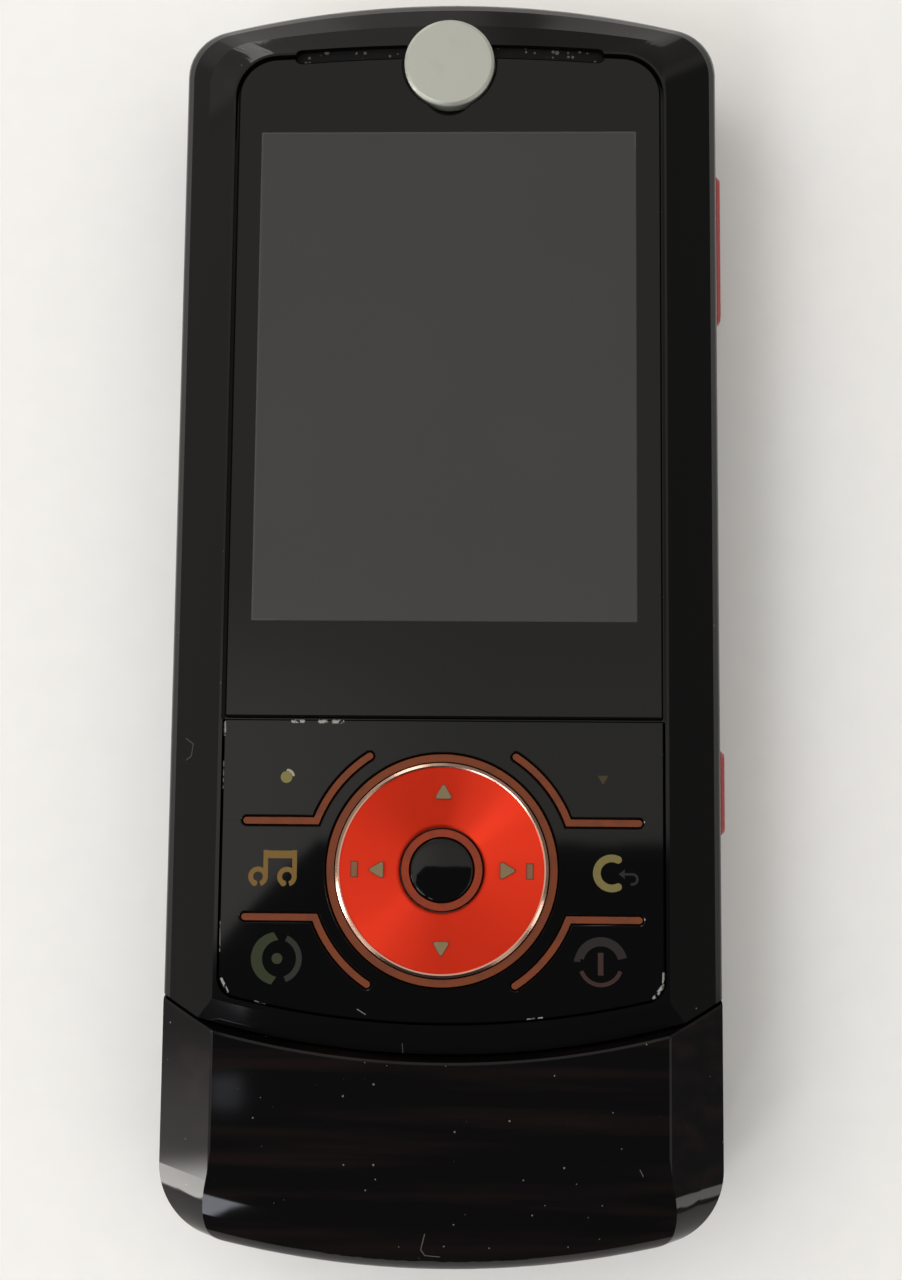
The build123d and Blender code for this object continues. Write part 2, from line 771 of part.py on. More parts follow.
# ---- SIM holder and card, on the underside of the main board
with BuildPart() as sim_holder:
    with BuildSketch(Plane.XY.offset(board_bottom)):
        with Locations((0, sim_centre)):
            Rectangle(sim_width + 2 * sim_frame, sim_length + 2 * sim_frame)
    extrude(amount=-sim_holder_height)
    with BuildSketch(Plane.XY.offset(board_bottom - sim_holder_height)):
        with Locations((0, sim_centre)):
            Rectangle(sim_width + 2 * fit_clearance, sim_length + 2 * fit_clearance)
    extrude(amount=sim_thickness + fit_clearance, mode=Mode.SUBTRACT)
save(sim_holder.part, "sim_holder")

with BuildPart() as sim_card:
    sim_bottom = board_bottom - sim_holder_height + fit_clearance
    with BuildSketch(Plane.XY.offset(sim_bottom)):
        with Locations((0, sim_centre)):
            Rectangle(sim_width, sim_length)
    extrude(amount=sim_thickness)
    chamfer(sim_card.edges().filter_by(Axis.Z).sort_by(Axis.X)[-1], sim_notch)
save(sim_card.part, "sim_card")

# ---- main board, cut round the screw bosses and the headset jack
with BuildPart() as main_board:
    with BuildSketch(Plane.XY.offset(board_bottom)):
        add(phone_outline(board_bottom, side=board_inset, top=board_inset, bottom=board_inset))
        with Locations(*screw_places):
            Circle(boss_radius + fit_clearance, mode=Mode.SUBTRACT)
        for boss_x, boss_y in screw_places:
            with Locations((boss_x * 2, boss_y)):
                Rectangle(abs(boss_x) * 2, 2 * (boss_radius + fit_clearance), mode=Mode.SUBTRACT)
        with Locations((jack_x, top_apex)):
            Rectangle(jack_body_width + 2 * fit_clearance,
                      2 * (top_apex - jack_back + fit_clearance), mode=Mode.SUBTRACT)
    extrude(amount=board_thickness)
save(main_board.part, "main_board")

with BuildPart() as shield_cans:
    with BuildSketch(Plane.XY.offset(board_top)) as shield_tops:
        for shield_y in shield_centres:
            with Locations((shield_x, shield_y)):
                Rectangle(shield_width, shield_length)
        chamfer(shield_tops.vertices(), shield_corner)
    extrude(amount=shield_height)
    chamfer(shield_cans.faces().filter_by(Axis.Z).group_by(Axis.Z)[-1].edges(), shield_edge)
save(shield_cans.part, "shield_cans")

# ---- silicone mat under the number keys
with BuildPart() as keypad_mat:
    extrude(keypad_field(board_top, -keypad_mat_inset), amount=keypad_mat_thickness)
    with BuildSketch(Plane.XY.offset(board_top + keypad_mat_thickness)):
        for row in range(row_count):
            for column in range(column_count):
                column_x = (column - (column_count - 1) / 2) * keypad_width / column_count
                bow = seam_radius - sqrt(seam_radius**2 - column_x**2)
                with Locations((column_x, keypad_start + (row + 0.5) * row_pitch + bow)):
                    Rectangle(mat_bump_size, mat_bump_size)
    extrude(amount=mat_bump_rise)
save(keypad_mat.part, "keypad_mat")

# ---- data socket on the left side, under the board
with BuildPart() as usb_socket:
    with BuildSketch(Plane.YZ.offset(-half_width + fit_clearance)) as usb_shell:
        with Locations((usb_centre, board_bottom - usb_height / 2)):
            Rectangle(usb_width, usb_height)
        chamfer(usb_shell.vertices().group_by(Axis.Z)[0], usb_height / 4)
    extrude(amount=usb_depth)
    with BuildSketch(Plane.YZ.offset(-half_width + fit_clearance)) as usb_mouth:
        with Locations((usb_centre, board_bottom - usb_height / 2)):
            Rectangle(usb_width - 2 * usb_wall, usb_height - 2 * usb_wall)
        chamfer(usb_mouth.vertices().group_by(Axis.Z)[0], usb_height / 4)
    extrude(amount=usb_depth - usb_wall, mode=Mode.SUBTRACT)
    with BuildSketch(Plane.YZ.offset(-half_width + fit_clearance + usb_wall)):
        with Locations((usb_centre, board_bottom - usb_height * 0.4)):
            Rectangle(usb_width * 0.6, usb_height / 5)
    extrude(amount=usb_depth - 1.5 * usb_wall)
save(usb_socket.part, "usb_socket")

# ---- headset jack in the top end
with BuildPart() as headset_jack:
    with BuildSketch(Plane.XZ.offset(-jack_mouth)):
        with Locations((jack_x, parting_height)):
            Circle(jack_nose_radius)
    extrude(amount=jack_nose_length)
    with BuildSketch(Plane.XZ.offset(-jack_mouth + jack_nose_length)):
        with Locations((jack_x, parting_height)):
            Rectangle(jack_body_width, jack_body_height)
    extrude(amount=jack_length - jack_nose_length)
    with BuildSketch(Plane.XZ.offset(-jack_mouth)):
        with Locations((jack_x, parting_height)):
            Circle(jack_bore_radius)
    extrude(amount=jack_length, mode=Mode.SUBTRACT)
    with BuildSketch(Plane.XZ.offset(-jack_mouth + jack_length)):
        with Locations((jack_x, parting_height)):
            Rectangle(jack_body_width, jack_body_height)
    extrude(amount=jack_end_wall)
save(headset_jack.part, "headset_jack")

# ---- loudspeaker, vibration motor and microphone
with BuildPart() as loudspeaker:
    with BuildSketch(Plane.XY.offset(back_skin)):
        with Locations((speaker_x, speaker_y)):
            RectangleRounded(speaker_size, speaker_size, speaker_size / 4)
    extrude(amount=speaker_height)
    with BuildSketch(Plane.XY.offset(back_skin)):
        with Locations((speaker_x, speaker_y)):
            Circle(speaker_size * 0.4)
    extrude(amount=speaker_dish, mode=Mode.SUBTRACT)
save(loudspeaker.part, "loudspeaker")

with BuildPart() as vibration_motor:
    motor_height = board_bottom - motor_radius
    with BuildSketch(Plane.XZ.offset(-motor_y)):
        with Locations((motor_x, motor_height)):
            Circle(motor_radius)
    extrude(amount=motor_length)
    with BuildSketch(Plane.XZ.offset(-motor_y)):
        with Locations((motor_x, motor_height)):
            Circle(motor_radius / 4)
    extrude(amount=-motor_length / 2.5)
    with BuildSketch(Plane.XZ.offset(-motor_y - motor_gap)):
        with Locations((motor_x, motor_height)):
            Circle(motor_radius * 0.95)
            with Locations((0, motor_radius * 1.1)):
                Rectangle(2 * motor_radius, 2 * motor_radius, mode=Mode.SUBTRACT)
    extrude(amount=-motor_length / 3.5)
save(vibration_motor.part, "vibration_motor")

with BuildPart() as microphone:
    with BuildSketch(Plane.XY.offset(board_bottom)):
        with Locations((0, microphone_y)):
            Circle(microphone_radius)
    extrude(amount=-microphone_height)
save(microphone.part, "microphone")

# ---- antenna carrier, standing on the board inside the chin
with BuildPart() as antenna:
    with BuildSketch(Plane.XY.offset(board_top)):
        add(phone_outline(board_top, side=chin_cavity_side + antenna_gap,
                          bottom=chin_cavity_end + antenna_gap))
        with Locations((0, chin_cavity_start - antenna_gap + phone_length / 2)):
            Rectangle(2 * phone_width, phone_length, mode=Mode.SUBTRACT)
    extrude(amount=antenna_height)
    with BuildSketch(Plane.XY.offset(board_top)):
        with Locations((0, (chin_cavity_start + bottom_apex + chin_cavity_end) / 2)):
            Rectangle(half_width, antenna_slot)
    extrude(amount=antenna_height - antenna_wall, mode=Mode.SUBTRACT)
save(antenna.part, "antenna")

# ---- switches behind the side keys
flange_face = half_width - base_wall - side_key_float
switch_face = flange_face - side_key_flange - switch_gap
with BuildPart() as side_switches:
    with BuildSketch(Plane.XY.offset(board_bottom)):
        with Locations(*[
            (switch_face - switch_size / 2, y)
            for y in (rocker_centre - rocker_length / 3, rocker_centre + rocker_length / 3,
                      side_key_centre)
        ]):
            Rectangle(switch_size, switch_length)
    extrude(amount=-switch_height)
save(side_switches.part, "side_switches")

# ---- guide plate with its two T rails, sunk in the deck
with BuildPart() as slide_guide:
    with BuildSketch(Plane.XY.offset(deck_height - guide_plate_thickness)):
        with Locations((0, rail_middle)):
            Rectangle(guide_plate_width - 2 * fit_clearance, rail_length)
        with Locations((0, flex_base_end)):
            Rectangle(flex_width + 2 * fit_clearance, 4 * flex_thickness, mode=Mode.SUBTRACT)
    extrude(amount=guide_plate_thickness)
    with BuildSketch(Plane.XZ.offset(-rail_end)):
        for rail_x in rail_places:
            with Locations((rail_x, (deck_height + frame_bottom - guide_plate_thickness) / 2)):
                Rectangle(rail_web, frame_bottom - deck_height + guide_plate_thickness)
            with Locations((rail_x, (frame_bottom + head_top) / 2)):
                Rectangle(rail_head, rail_head_height)
    extrude(amount=rail_length)
save(slide_guide.part, "slide_guide")

# ---- four housing screws, driven from the back
with BuildPart() as housing_screws:
    for screw_x, screw_y, seat in ((top_screw_x, top_screw_y, fit_clearance),
                                   (foot_screw_x, foot_screw_y, cover_height + fit_clearance)):
        with BuildSketch(Plane.XY.offset(seat)):
            with Locations((-screw_x, screw_y), (screw_x, screw_y)):
                Circle(screw_head_radius)
        extrude(amount=screw_head_height - fit_clearance)
        with BuildSketch(Plane.XY.offset(seat + screw_head_height - fit_clearance)):
            with Locations((-screw_x, screw_y), (screw_x, screw_y)):
                Circle(screw_shank_radius)
        extrude(amount=screw_length)
save(housing_screws.part, "housing_screws")

# ---- side keys: a cap through the wall and a flange behind it
for key_name, key_y, key_length in (("volume_rocker", rocker_centre, rocker_length),
                                    ("side_key", side_key_centre, side_key_length)):
    key_height = side_key_bottom + side_key_height / 2
    with BuildPart() as side_cap:
        with BuildSketch(Plane.YZ.offset(flange_face)):
            with Locations((key_y, key_height)):
                RectangleRounded(key_length, side_key_height, side_key_height / 3)
        extrude(amount=half_width + side_key_rise - flange_face)
        chamfer(side_cap.faces().sort_by(Axis.X)[-1].edges(), side_key_edge)
        with BuildSketch(Plane.YZ.offset(flange_face - side_key_flange)):
            with Locations((key_y, key_height)):
                Rectangle(key_length + 2 * side_key_lap, side_key_height)
        extrude(amount=side_key_flange)
    save(side_cap.part, key_name)

# ---- twelve number keys
for row, row_names in enumerate(("star 0 hash", "7 8 9", "4 5 6", "1 2 3")):
    for column, digit in enumerate(row_names.split()):
        with BuildPart() as digit_key:
            extrude(digit_face(digit_bottom, row, column), amount=digit_thickness)
            chamfer(digit_key.faces().sort_by(Axis.Z)[-1].edges(), digit_edge)
        save(digit_key.part, f"key_{digit}")

# ================================================================ slider: the upper half

# ---- slider frame: bevelled rim, seats for lens and panel
with BuildPart() as slider_frame:
    extrude(phone_outline(frame_bottom), amount=crease_height - frame_bottom)
    loft(
        [
            phone_outline(crease_height),
            phone_outline(phone_height, side=rim_side, top=rim_top,
                          end_radius=rim_end_radius, corner=lens_corner + lens_gap + rim_land),
        ],
        ruled=True,
    )
    extrude(
        seam_side(deck_height, seam_apex, -1),
        amount=phone_height,
        dir=(0, -seam_slant, 1),
        mode=Mode.SUBTRACT,
    )
    # bevel along the foot
    extrude(
        seam_side(phone_height, seam_apex - seam_slant * (phone_height - deck_height)
                  + foot_bevel_width, -1),
        amount=2 * (foot_bevel_width + foot_bevel_drop),
        dir=(0, -foot_bevel_width, -foot_bevel_drop),
        mode=Mode.SUBTRACT,
    )
    fillet(
        slider_frame.edges().filter_by(Plane.XY).filter_by_position(
            Axis.Z, crease_height - 0.01, crease_height + 0.01),
        crease_round,
    )
    # hollow for board, display and keys
    with BuildSketch(Plane.XY.offset(frame_bottom)):
        add(phone_outline(frame_bottom, side=slider_wall, top=slider_cavity_rise))
        add(seam_side(frame_bottom, cavity_end, -1), mode=Mode.SUBTRACT)
    extrude(amount=cavity_crease - frame_bottom, mode=Mode.SUBTRACT)
    with BuildPart(mode=Mode.PRIVATE) as upper_hollow:
        loft(
            [
                phone_outline(cavity_crease, side=slider_wall, top=slider_cavity_rise),
                phone_outline(cavity_ceiling, side=rim_side + slider_cavity_land,
                              top=rim_top + slider_cavity_land, end_radius=rim_end_radius,
                              corner=lens_corner),
            ],
            ruled=True,
        )
        extrude(
            seam_side(cavity_crease, cavity_end, -1),
            amount=phone_height,
            mode=Mode.SUBTRACT,
        )
    add(upper_hollow.part, mode=Mode.SUBTRACT)
    # seat of the lens, window of the display, opening of the keys
    extrude(lens_outline(lens_seat, lens_gap), amount=lens_thickness + 1, mode=Mode.SUBTRACT)
    with BuildSketch(Plane.XY.offset(cavity_ceiling - 1)):
        with Locations((0, display_centre)):
            Rectangle(display_width + 2 * fit_clearance, display_length + 2 * fit_clearance)
    extrude(amount=seat_web + 1, mode=Mode.SUBTRACT)
    extrude(panel_outline(guide_bottom, key_clearance), amount=phone_height,
            mode=Mode.SUBTRACT)
    with BuildSketch(Plane.XY.offset(frame_bottom)):
        with Locations(*slider_screw_places):
            Circle(slider_boss_radius)
            Circle(slider_screw_head / 2 + fit_clearance / 2, mode=Mode.SUBTRACT)
    extrude(amount=slider_boss_height)
    # seat of the disc and slot of the earpiece
    with BuildSketch(Plane.XY.offset(lens_seat)):
        with Locations((0, disc_centre)):
            Circle(disc_radius + fit_clearance)
    extrude(amount=lens_thickness + 1, mode=Mode.SUBTRACT)
    extrude(earpiece_slot(lens_seat), amount=lens_thickness + 1, mode=Mode.SUBTRACT)
save(slider_frame.part, "slider_frame")

with BuildPart() as earpiece_mesh:
    extrude(earpiece_slot(lens_seat, -fit_clearance / 2), amount=mesh_thickness)
    with BuildSketch(Plane.XY.offset(lens_seat)):
        with Locations((0, disc_centre)):
            Circle(disc_radius + fit_clearance)
    extrude(amount=lens_thickness, mode=Mode.SUBTRACT)
save(earpiece_mesh.part, "earpiece_mesh")

# ---- rear cover of the slider, with rail slots, camera and flash windows
with BuildPart() as slider_rear_cover:
    extrude(phone_outline(slider_bottom), amount=rear_cover_thickness)
    extrude(
        seam_side(deck_height, seam_apex, -1),
        amount=phone_height,
        dir=(0, -seam_slant, 1),
        mode=Mode.SUBTRACT,
    )
    with BuildSketch(Plane.XY.offset(slider_bottom)):
        with Locations((0, channel_middle)):
            with GridLocations(rail_spacing, 0, 2, 1):
                Rectangle(2 * (channel_half + fit_clearance),
                          channel_length + 2 * fit_clearance)
        with Locations((camera_x, camera_y)):
            Circle(camera_window_radius + fit_clearance)
        with Locations((flash_x, camera_y)):
            Circle(flash_radius + fit_clearance)
        with Locations((0, (flex_slider_end + flex_bend) / 2)):
            Rectangle(mechanism_width, flex_bend - flex_slider_end + 2 * mechanism_rim)
        with Locations(*slider_screw_places):
            Circle(slider_screw_head + fit_clearance)
    extrude(amount=rear_cover_thickness, mode=Mode.SUBTRACT)
save(slider_rear_cover.part, "slider_rear_cover")

# ---- slide plate: a sheet with two C channels that run on the T rails
with BuildPart() as slide_plate:
    lip_bottom = slider_bottom + fit_clearance
    lip_top = frame_bottom - rail_clearance
    inner_half = rail_head / 2 + rail_clearance
    lip_half = rail_web / 2 + rail_clearance
    with BuildSketch(Plane.XY.offset(plate_bottom)):
        with Locations((0, channel_middle)):
            Rectangle(rail_spacing + 2 * channel_half, channel_length)
        with Locations((0, (camera_y + top_apex) / 2)):
            Rectangle(rail_spacing - 2 * channel_half, top_apex - camera_y
                      + camera_size + 2 * fit_clearance, mode=Mode.SUBTRACT)
        with Locations((0, flex_slider_end)):
            Rectangle(flex_width + 4 * fit_clearance, 6 * flex_thickness, mode=Mode.SUBTRACT)
    extrude(amount=plate_thickness)
    with BuildSketch(Plane.XZ.offset(-channel_top)):
        for rail_x in rail_places:
            with Locations((rail_x, (lip_bottom + plate_bottom) / 2)):
                Rectangle(2 * channel_half, plate_bottom - lip_bottom)
            with Locations((rail_x, (lip_top + plate_bottom) / 2)):
                Rectangle(2 * inner_half, plate_bottom - lip_top, mode=Mode.SUBTRACT)
            with Locations((rail_x, (lip_bottom + lip_top) / 2)):
                Rectangle(2 * lip_half, lip_top - lip_bottom, mode=Mode.SUBTRACT)
    extrude(amount=channel_length)
save(slide_plate.part, "slide_plate")

# ---- hairpin springs and flex cable between the two plates
with BuildPart() as slide_springs:
    for side in (-1, 1):
        inner_x = side * (spring_x - spring_radius)
        outer_x = side * (spring_x + spring_radius)
        with BuildLine(Plane.XY.offset(spring_height)) as spring_path:
            Line((inner_x, spring_y + spring_leg), (inner_x, spring_y))
            ThreePointArc((inner_x, spring_y), (side * spring_x, spring_y - spring_radius),
                          (outer_x, spring_y))
            Line((outer_x, spring_y), (outer_x, spring_y + spring_leg))
        with BuildSketch(Plane(origin=(inner_x, spring_y + spring_leg, spring_height),
                               z_dir=(0, -1, 0))):
            RegularPolygon(spring_wire / 2, 8)
        sweep(path=spring_path.line)
save(slide_springs.part, "slide_springs")

with BuildPart() as flex_cable:
    flex_low = deck_height + flex_thickness / 2
    flex_high = plate_bottom - 2 * flex_thickness
    flex_turn = (flex_high + flex_thickness - flex_low) / 2
    with BuildSketch(Plane.YZ) as flex_side:
        with BuildLine():
            Line((flex_base_end, flex_low), (flex_bend - flex_turn, flex_low))
            ThreePointArc((flex_bend - flex_turn, flex_low),
                          (flex_bend, flex_low + flex_turn),
                          (flex_bend - flex_turn, flex_low + 2 * flex_turn))
            Line((flex_bend - flex_turn, flex_low + 2 * flex_turn),
                 (flex_slider_end, flex_low + 2 * flex_turn))
            Line((flex_slider_end, flex_low + 2 * flex_turn), (flex_slider_end, flex_high))
            Line((flex_slider_end, flex_high), (flex_bend - flex_turn, flex_high))
            ThreePointArc((flex_bend - flex_turn, flex_high),
                          (flex_bend - flex_thickness, flex_low + flex_turn),
                          (flex_bend - flex_turn, flex_low + flex_thickness))
            Line((flex_bend - flex_turn, flex_low + flex_thickness),
                 (flex_base_end, flex_low + flex_thickness))
            Line((flex_base_end, flex_low + flex_thickness), (flex_base_end, flex_low))
        make_face()
    extrude(amount=flex_width / 2, both=True)
save(flex_cable.part, "flex_cable")

# ---- slider board, key mat and light guide
with BuildPart() as slider_board:
    board_end = cavity_end + fit_clearance
    with BuildSketch(Plane.XY.offset(slider_board_bottom)):
        with Locations((0, (display_top + board_end) / 2)):
            Rectangle(slider_board_width, display_top - board_end)
        add(seam_side(slider_board_bottom, board_end, -1), mode=Mode.SUBTRACT)
    extrude(amount=slider_board_thickness)
save(slider_board.part, "slider_board")

guide_inset = cavity_end + 2 * fit_clearance - panel_bottom
with BuildPart() as slider_key_mat:
    extrude(panel_outline(slider_board_top, -guide_inset), amount=key_mat_thickness)
save(slider_key_mat.part, "slider_key_mat")

with BuildPart() as light_guide:
    extrude(panel_outline(guide_bottom, -guide_inset), amount=guide_web)
    rib_height = guide_tip - guide_top
    extrude(light_lines(guide_top, slot_width), amount=rib_height)
    with BuildSketch(Plane.XY.offset(guide_top)):
        with Locations((0, nav_centre)):
            Circle(glow_ring_radius)
            Circle(nav_ring_radius + key_clearance, mode=Mode.SUBTRACT)
            Circle(nav_ring_bore - 1.5 * key_clearance)
            Circle(select_radius + key_clearance, mode=Mode.SUBTRACT)
    extrude(amount=rib_height)
save(light_guide.part, "light_guide")

# ---- four-way ring: a spring plate that tilts one way and the ring that tilts the other
with BuildPart() as nav_gimbal:
    with BuildSketch(Plane.XY.offset(cap_bottom)):
        with Locations((0, nav_centre)):
            Circle(nav_ring_radius - 2 * key_clearance)
            Circle(nav_ring_bore, mode=Mode.SUBTRACT)
    extrude(amount=gimbal_thickness)
save(nav_gimbal.part, "nav_gimbal")

with BuildPart() as nav_ring:
    with BuildSketch(Plane.XZ) as ring_side:
        with BuildLine():
            lip_in = nav_ring_radius - nav_ring_lip
            Line((nav_ring_bore, ring_bottom), (nav_ring_radius, ring_bottom))
            Line((nav_ring_radius, ring_bottom), (nav_ring_radius, ring_top - nav_ring_lip))
            Line((nav_ring_radius, ring_top - nav_ring_lip),
                 (nav_ring_radius - nav_ring_lip / 2, ring_top))
            Line((nav_ring_radius - nav_ring_lip / 2, ring_top), (lip_in, ring_top))
            ThreePointArc((lip_in, ring_top),
                          ((lip_in + nav_ring_bore) / 2, ring_top - nav_ring_dish),
                          (nav_ring_bore, ring_top - nav_ring_dish / 2))
            Line((nav_ring_bore, ring_top - nav_ring_dish / 2), (nav_ring_bore, ring_bottom))
        make_face()
    revolve(axis=Axis.Z)
nav_ring.part.position = (0, nav_centre, 0)
save(nav_ring.part, "nav_ring")

with BuildPart() as select_key:
    with BuildSketch(Plane.XY.offset(cap_bottom)):
        with Locations((0, nav_centre)):
            Circle(select_radius)
    extrude(amount=panel_face - cap_bottom)
    chamfer(select_key.faces().sort_by(Axis.Z)[-1].edges(), select_dome)
save(select_key.part, "select_key")

# ---- control panel: one sheet with bevelled edges, parted into six key caps
with BuildPart() as key_sheet:
    with BuildSketch(Plane.XY.offset(cap_bottom)):
        add(panel_outline(cap_bottom))
        add(light_lines(cap_bottom, slot_width + 2 * key_clearance), mode=Mode.SUBTRACT)
        with Locations((0, nav_centre)):
            Circle(glow_ring_radius + key_clearance, mode=Mode.SUBTRACT)
    extrude(amount=panel_face - cap_bottom)
    chamfer(key_sheet.faces().sort_by(Axis.Z)[-1].edges(), cap_edge)
    extrude(cap_seams(cap_bottom), amount=panel_face - cap_bottom, mode=Mode.SUBTRACT)
for side, cap_names in ((-1, ("send_key", "music_key", "soft_key_left")),
                        (1, ("end_key", "clear_key", "soft_key_right"))):
    side_caps = key_sheet.solids().filter_by(lambda cap: cap.center().X * side > 0)
    for key_cap, cap_name in zip(side_caps.sort_by(Axis.Y), cap_names):
        save(key_cap, cap_name)

# ---- display, its gasket and the lens over it
with BuildPart() as display_module:
    with BuildSketch(Plane.XY.offset(display_bottom)):
        with Locations((0, display_centre)):
            Rectangle(display_width, display_length)
    extrude(amount=display_thickness)
save(display_module.part, "display_module")

with BuildPart() as display_gasket:
    with BuildSketch(Plane.XY.offset(display_bottom + display_thickness)):
        with Locations((0, display_centre)):
            Rectangle(display_width, display_length)
            Rectangle(display_width - 2 * gasket_width, display_length - 2 * gasket_width,
                      mode=Mode.SUBTRACT)
    extrude(amount=gasket_thickness)
save(display_gasket.part, "display_gasket")

with BuildPart() as lens:
    with BuildSketch(Plane.XY.offset(lens_seat)):
        add(lens_outline(lens_seat))
        with Locations((0, disc_centre)):
            Circle(disc_radius + disc_relief, mode=Mode.SUBTRACT)
        with Locations((0, disc_centre - thumb_notch_drop)):
            Circle(thumb_notch_radius, mode=Mode.SUBTRACT)
        add(earpiece_slot(lens_seat, fit_clearance / 2), mode=Mode.SUBTRACT)
    extrude(amount=lens_thickness)
    chamfer(lens.faces().sort_by(Axis.Z)[-1].edges(), lens_edge)
save(lens.part, "lens")

# ---- plain round disc over the earpiece slot
with BuildPart() as round_disc:
    with BuildSketch(Plane.XZ):
        with BuildLine():
            disc_top = phone_height + disc_rise
            Line((0, lens_seat), (disc_radius, lens_seat))
            Line((disc_radius, lens_seat), (disc_radius, disc_top - disc_bevel))
            Line((disc_radius, disc_top - disc_bevel), (disc_radius - disc_bevel, disc_top))
            Line((disc_radius - disc_bevel, disc_top), (0, disc_top))
            Line((0, disc_top), (0, lens_seat))
        make_face()
    revolve(axis=Axis.Z)
round_disc.part.position = (0, disc_centre, 0)
save(round_disc.part, "round_disc")

# ---- earpiece, camera and flash at the top of the slider
with BuildPart() as earpiece:
    with BuildSketch(Plane.XY.offset(cavity_ceiling - fit_clearance - earpiece_height)):
        with Locations((earpiece_x, display_top + earpiece_depth / 2 + 3 * fit_clearance)):
            RectangleRounded(earpiece_width, earpiece_depth, earpiece_depth / 3)
    extrude(amount=earpiece_height)
save(earpiece.part, "earpiece")

with BuildPart() as camera_module:
    with BuildSketch(Plane.XY.offset(frame_bottom)):
        with Locations((camera_x, camera_y)):
            Rectangle(camera_size, camera_size)
    extrude(amount=camera_depth)
    with BuildSketch(Plane.XY.offset(frame_bottom)):
        with Locations((camera_x, camera_y)):
            Circle(camera_window_radius * 0.6)
    extrude(amount=camera_depth / 3, mode=Mode.SUBTRACT)
save(camera_module.part, "camera_module")

with BuildPart() as camera_windows:
    with BuildSketch(Plane.XY.offset(slider_bottom + fit_clearance)):
        with Locations((camera_x, camera_y)):
            Circle(camera_window_radius)
        with Locations((flash_x, camera_y)):
            Circle(flash_radius)
    extrude(amount=rear_cover_thickness - fit_clearance)
    chamfer(camera_windows.faces().group_by(Axis.Z)[0].edges(), fit_clearance)
save(camera_windows.part, "camera_windows")

# ---- four screws that hold the rear cover to the frame
with BuildPart() as slider_screws:
    with BuildSketch(Plane.XY.offset(slider_bottom + fit_clearance)):
        with Locations(*slider_screw_places):
            Circle(slider_screw_head)
    extrude(amount=rear_cover_thickness / 2)
    with BuildSketch(Plane.XY.offset(slider_bottom + fit_clearance + rear_cover_thickness / 2)):
        with Locations(*slider_screw_places):
            Circle(slider_screw_head / 2)
    extrude(amount=slider_screw_length)
save(slider_screws.part, "slider_screws")
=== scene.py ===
"""Looks of a closed slider phone: finishes, front pieces, markings, floor, light and camera.

Sizes are millimetres in the phone's own frame. Meshes are scaled to metres as they are finished.
"""
import logging
import math
from collections.abc import Sequence
from dataclasses import dataclass
from enum import Enum
from functools import reduce

import bmesh
import bpy
from mathutils import Matrix, Vector


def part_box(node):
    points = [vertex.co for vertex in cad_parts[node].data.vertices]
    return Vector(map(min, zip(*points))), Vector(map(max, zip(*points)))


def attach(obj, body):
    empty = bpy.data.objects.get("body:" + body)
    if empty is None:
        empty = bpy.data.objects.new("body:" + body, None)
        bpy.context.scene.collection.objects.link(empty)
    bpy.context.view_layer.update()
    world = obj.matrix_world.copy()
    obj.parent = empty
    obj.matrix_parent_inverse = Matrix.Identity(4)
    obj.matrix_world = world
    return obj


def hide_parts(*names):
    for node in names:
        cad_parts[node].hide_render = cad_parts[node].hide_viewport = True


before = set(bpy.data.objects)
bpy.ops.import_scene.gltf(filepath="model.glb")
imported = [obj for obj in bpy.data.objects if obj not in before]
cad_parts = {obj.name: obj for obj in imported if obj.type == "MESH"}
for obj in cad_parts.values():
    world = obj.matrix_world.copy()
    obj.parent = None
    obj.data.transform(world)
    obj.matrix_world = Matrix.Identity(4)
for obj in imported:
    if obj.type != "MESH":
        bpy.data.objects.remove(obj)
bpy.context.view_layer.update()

log = logging.getLogger("slider_phone")
Colour = tuple[float, float, float]
Place = tuple[float, float, float]
Point = tuple[float, float]

MM = 0.001
MERGE = 1e-5  # vertices nearer than this are one, in millimetres
SMOOTH_BELOW = 30  # degrees between faces that are still shaded as one
RING_CENTRE: Point = (0.0, -21.7)
RING_BORE = 3.46
FACE_DROP = 0.14  # from the ring's top to the rim of its turned face


def node_box(node: str) -> tuple[Vector, Vector]:
    """Lowest and highest corner of a CAD node, in millimetres."""
    low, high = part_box(node)
    return low / MM, high / MM


def add_object(name: str, data: bpy.types.ID) -> bpy.types.Object:
    """Makes an object of a mesh, curve, lamp or camera and puts it in the scene.

    Args:
        name: the object's name.
        data: what it shows.

    Returns:
        The new object.
    """
    made = bpy.data.objects.new(name, data)
    bpy.context.scene.collection.objects.link(made)
    return made


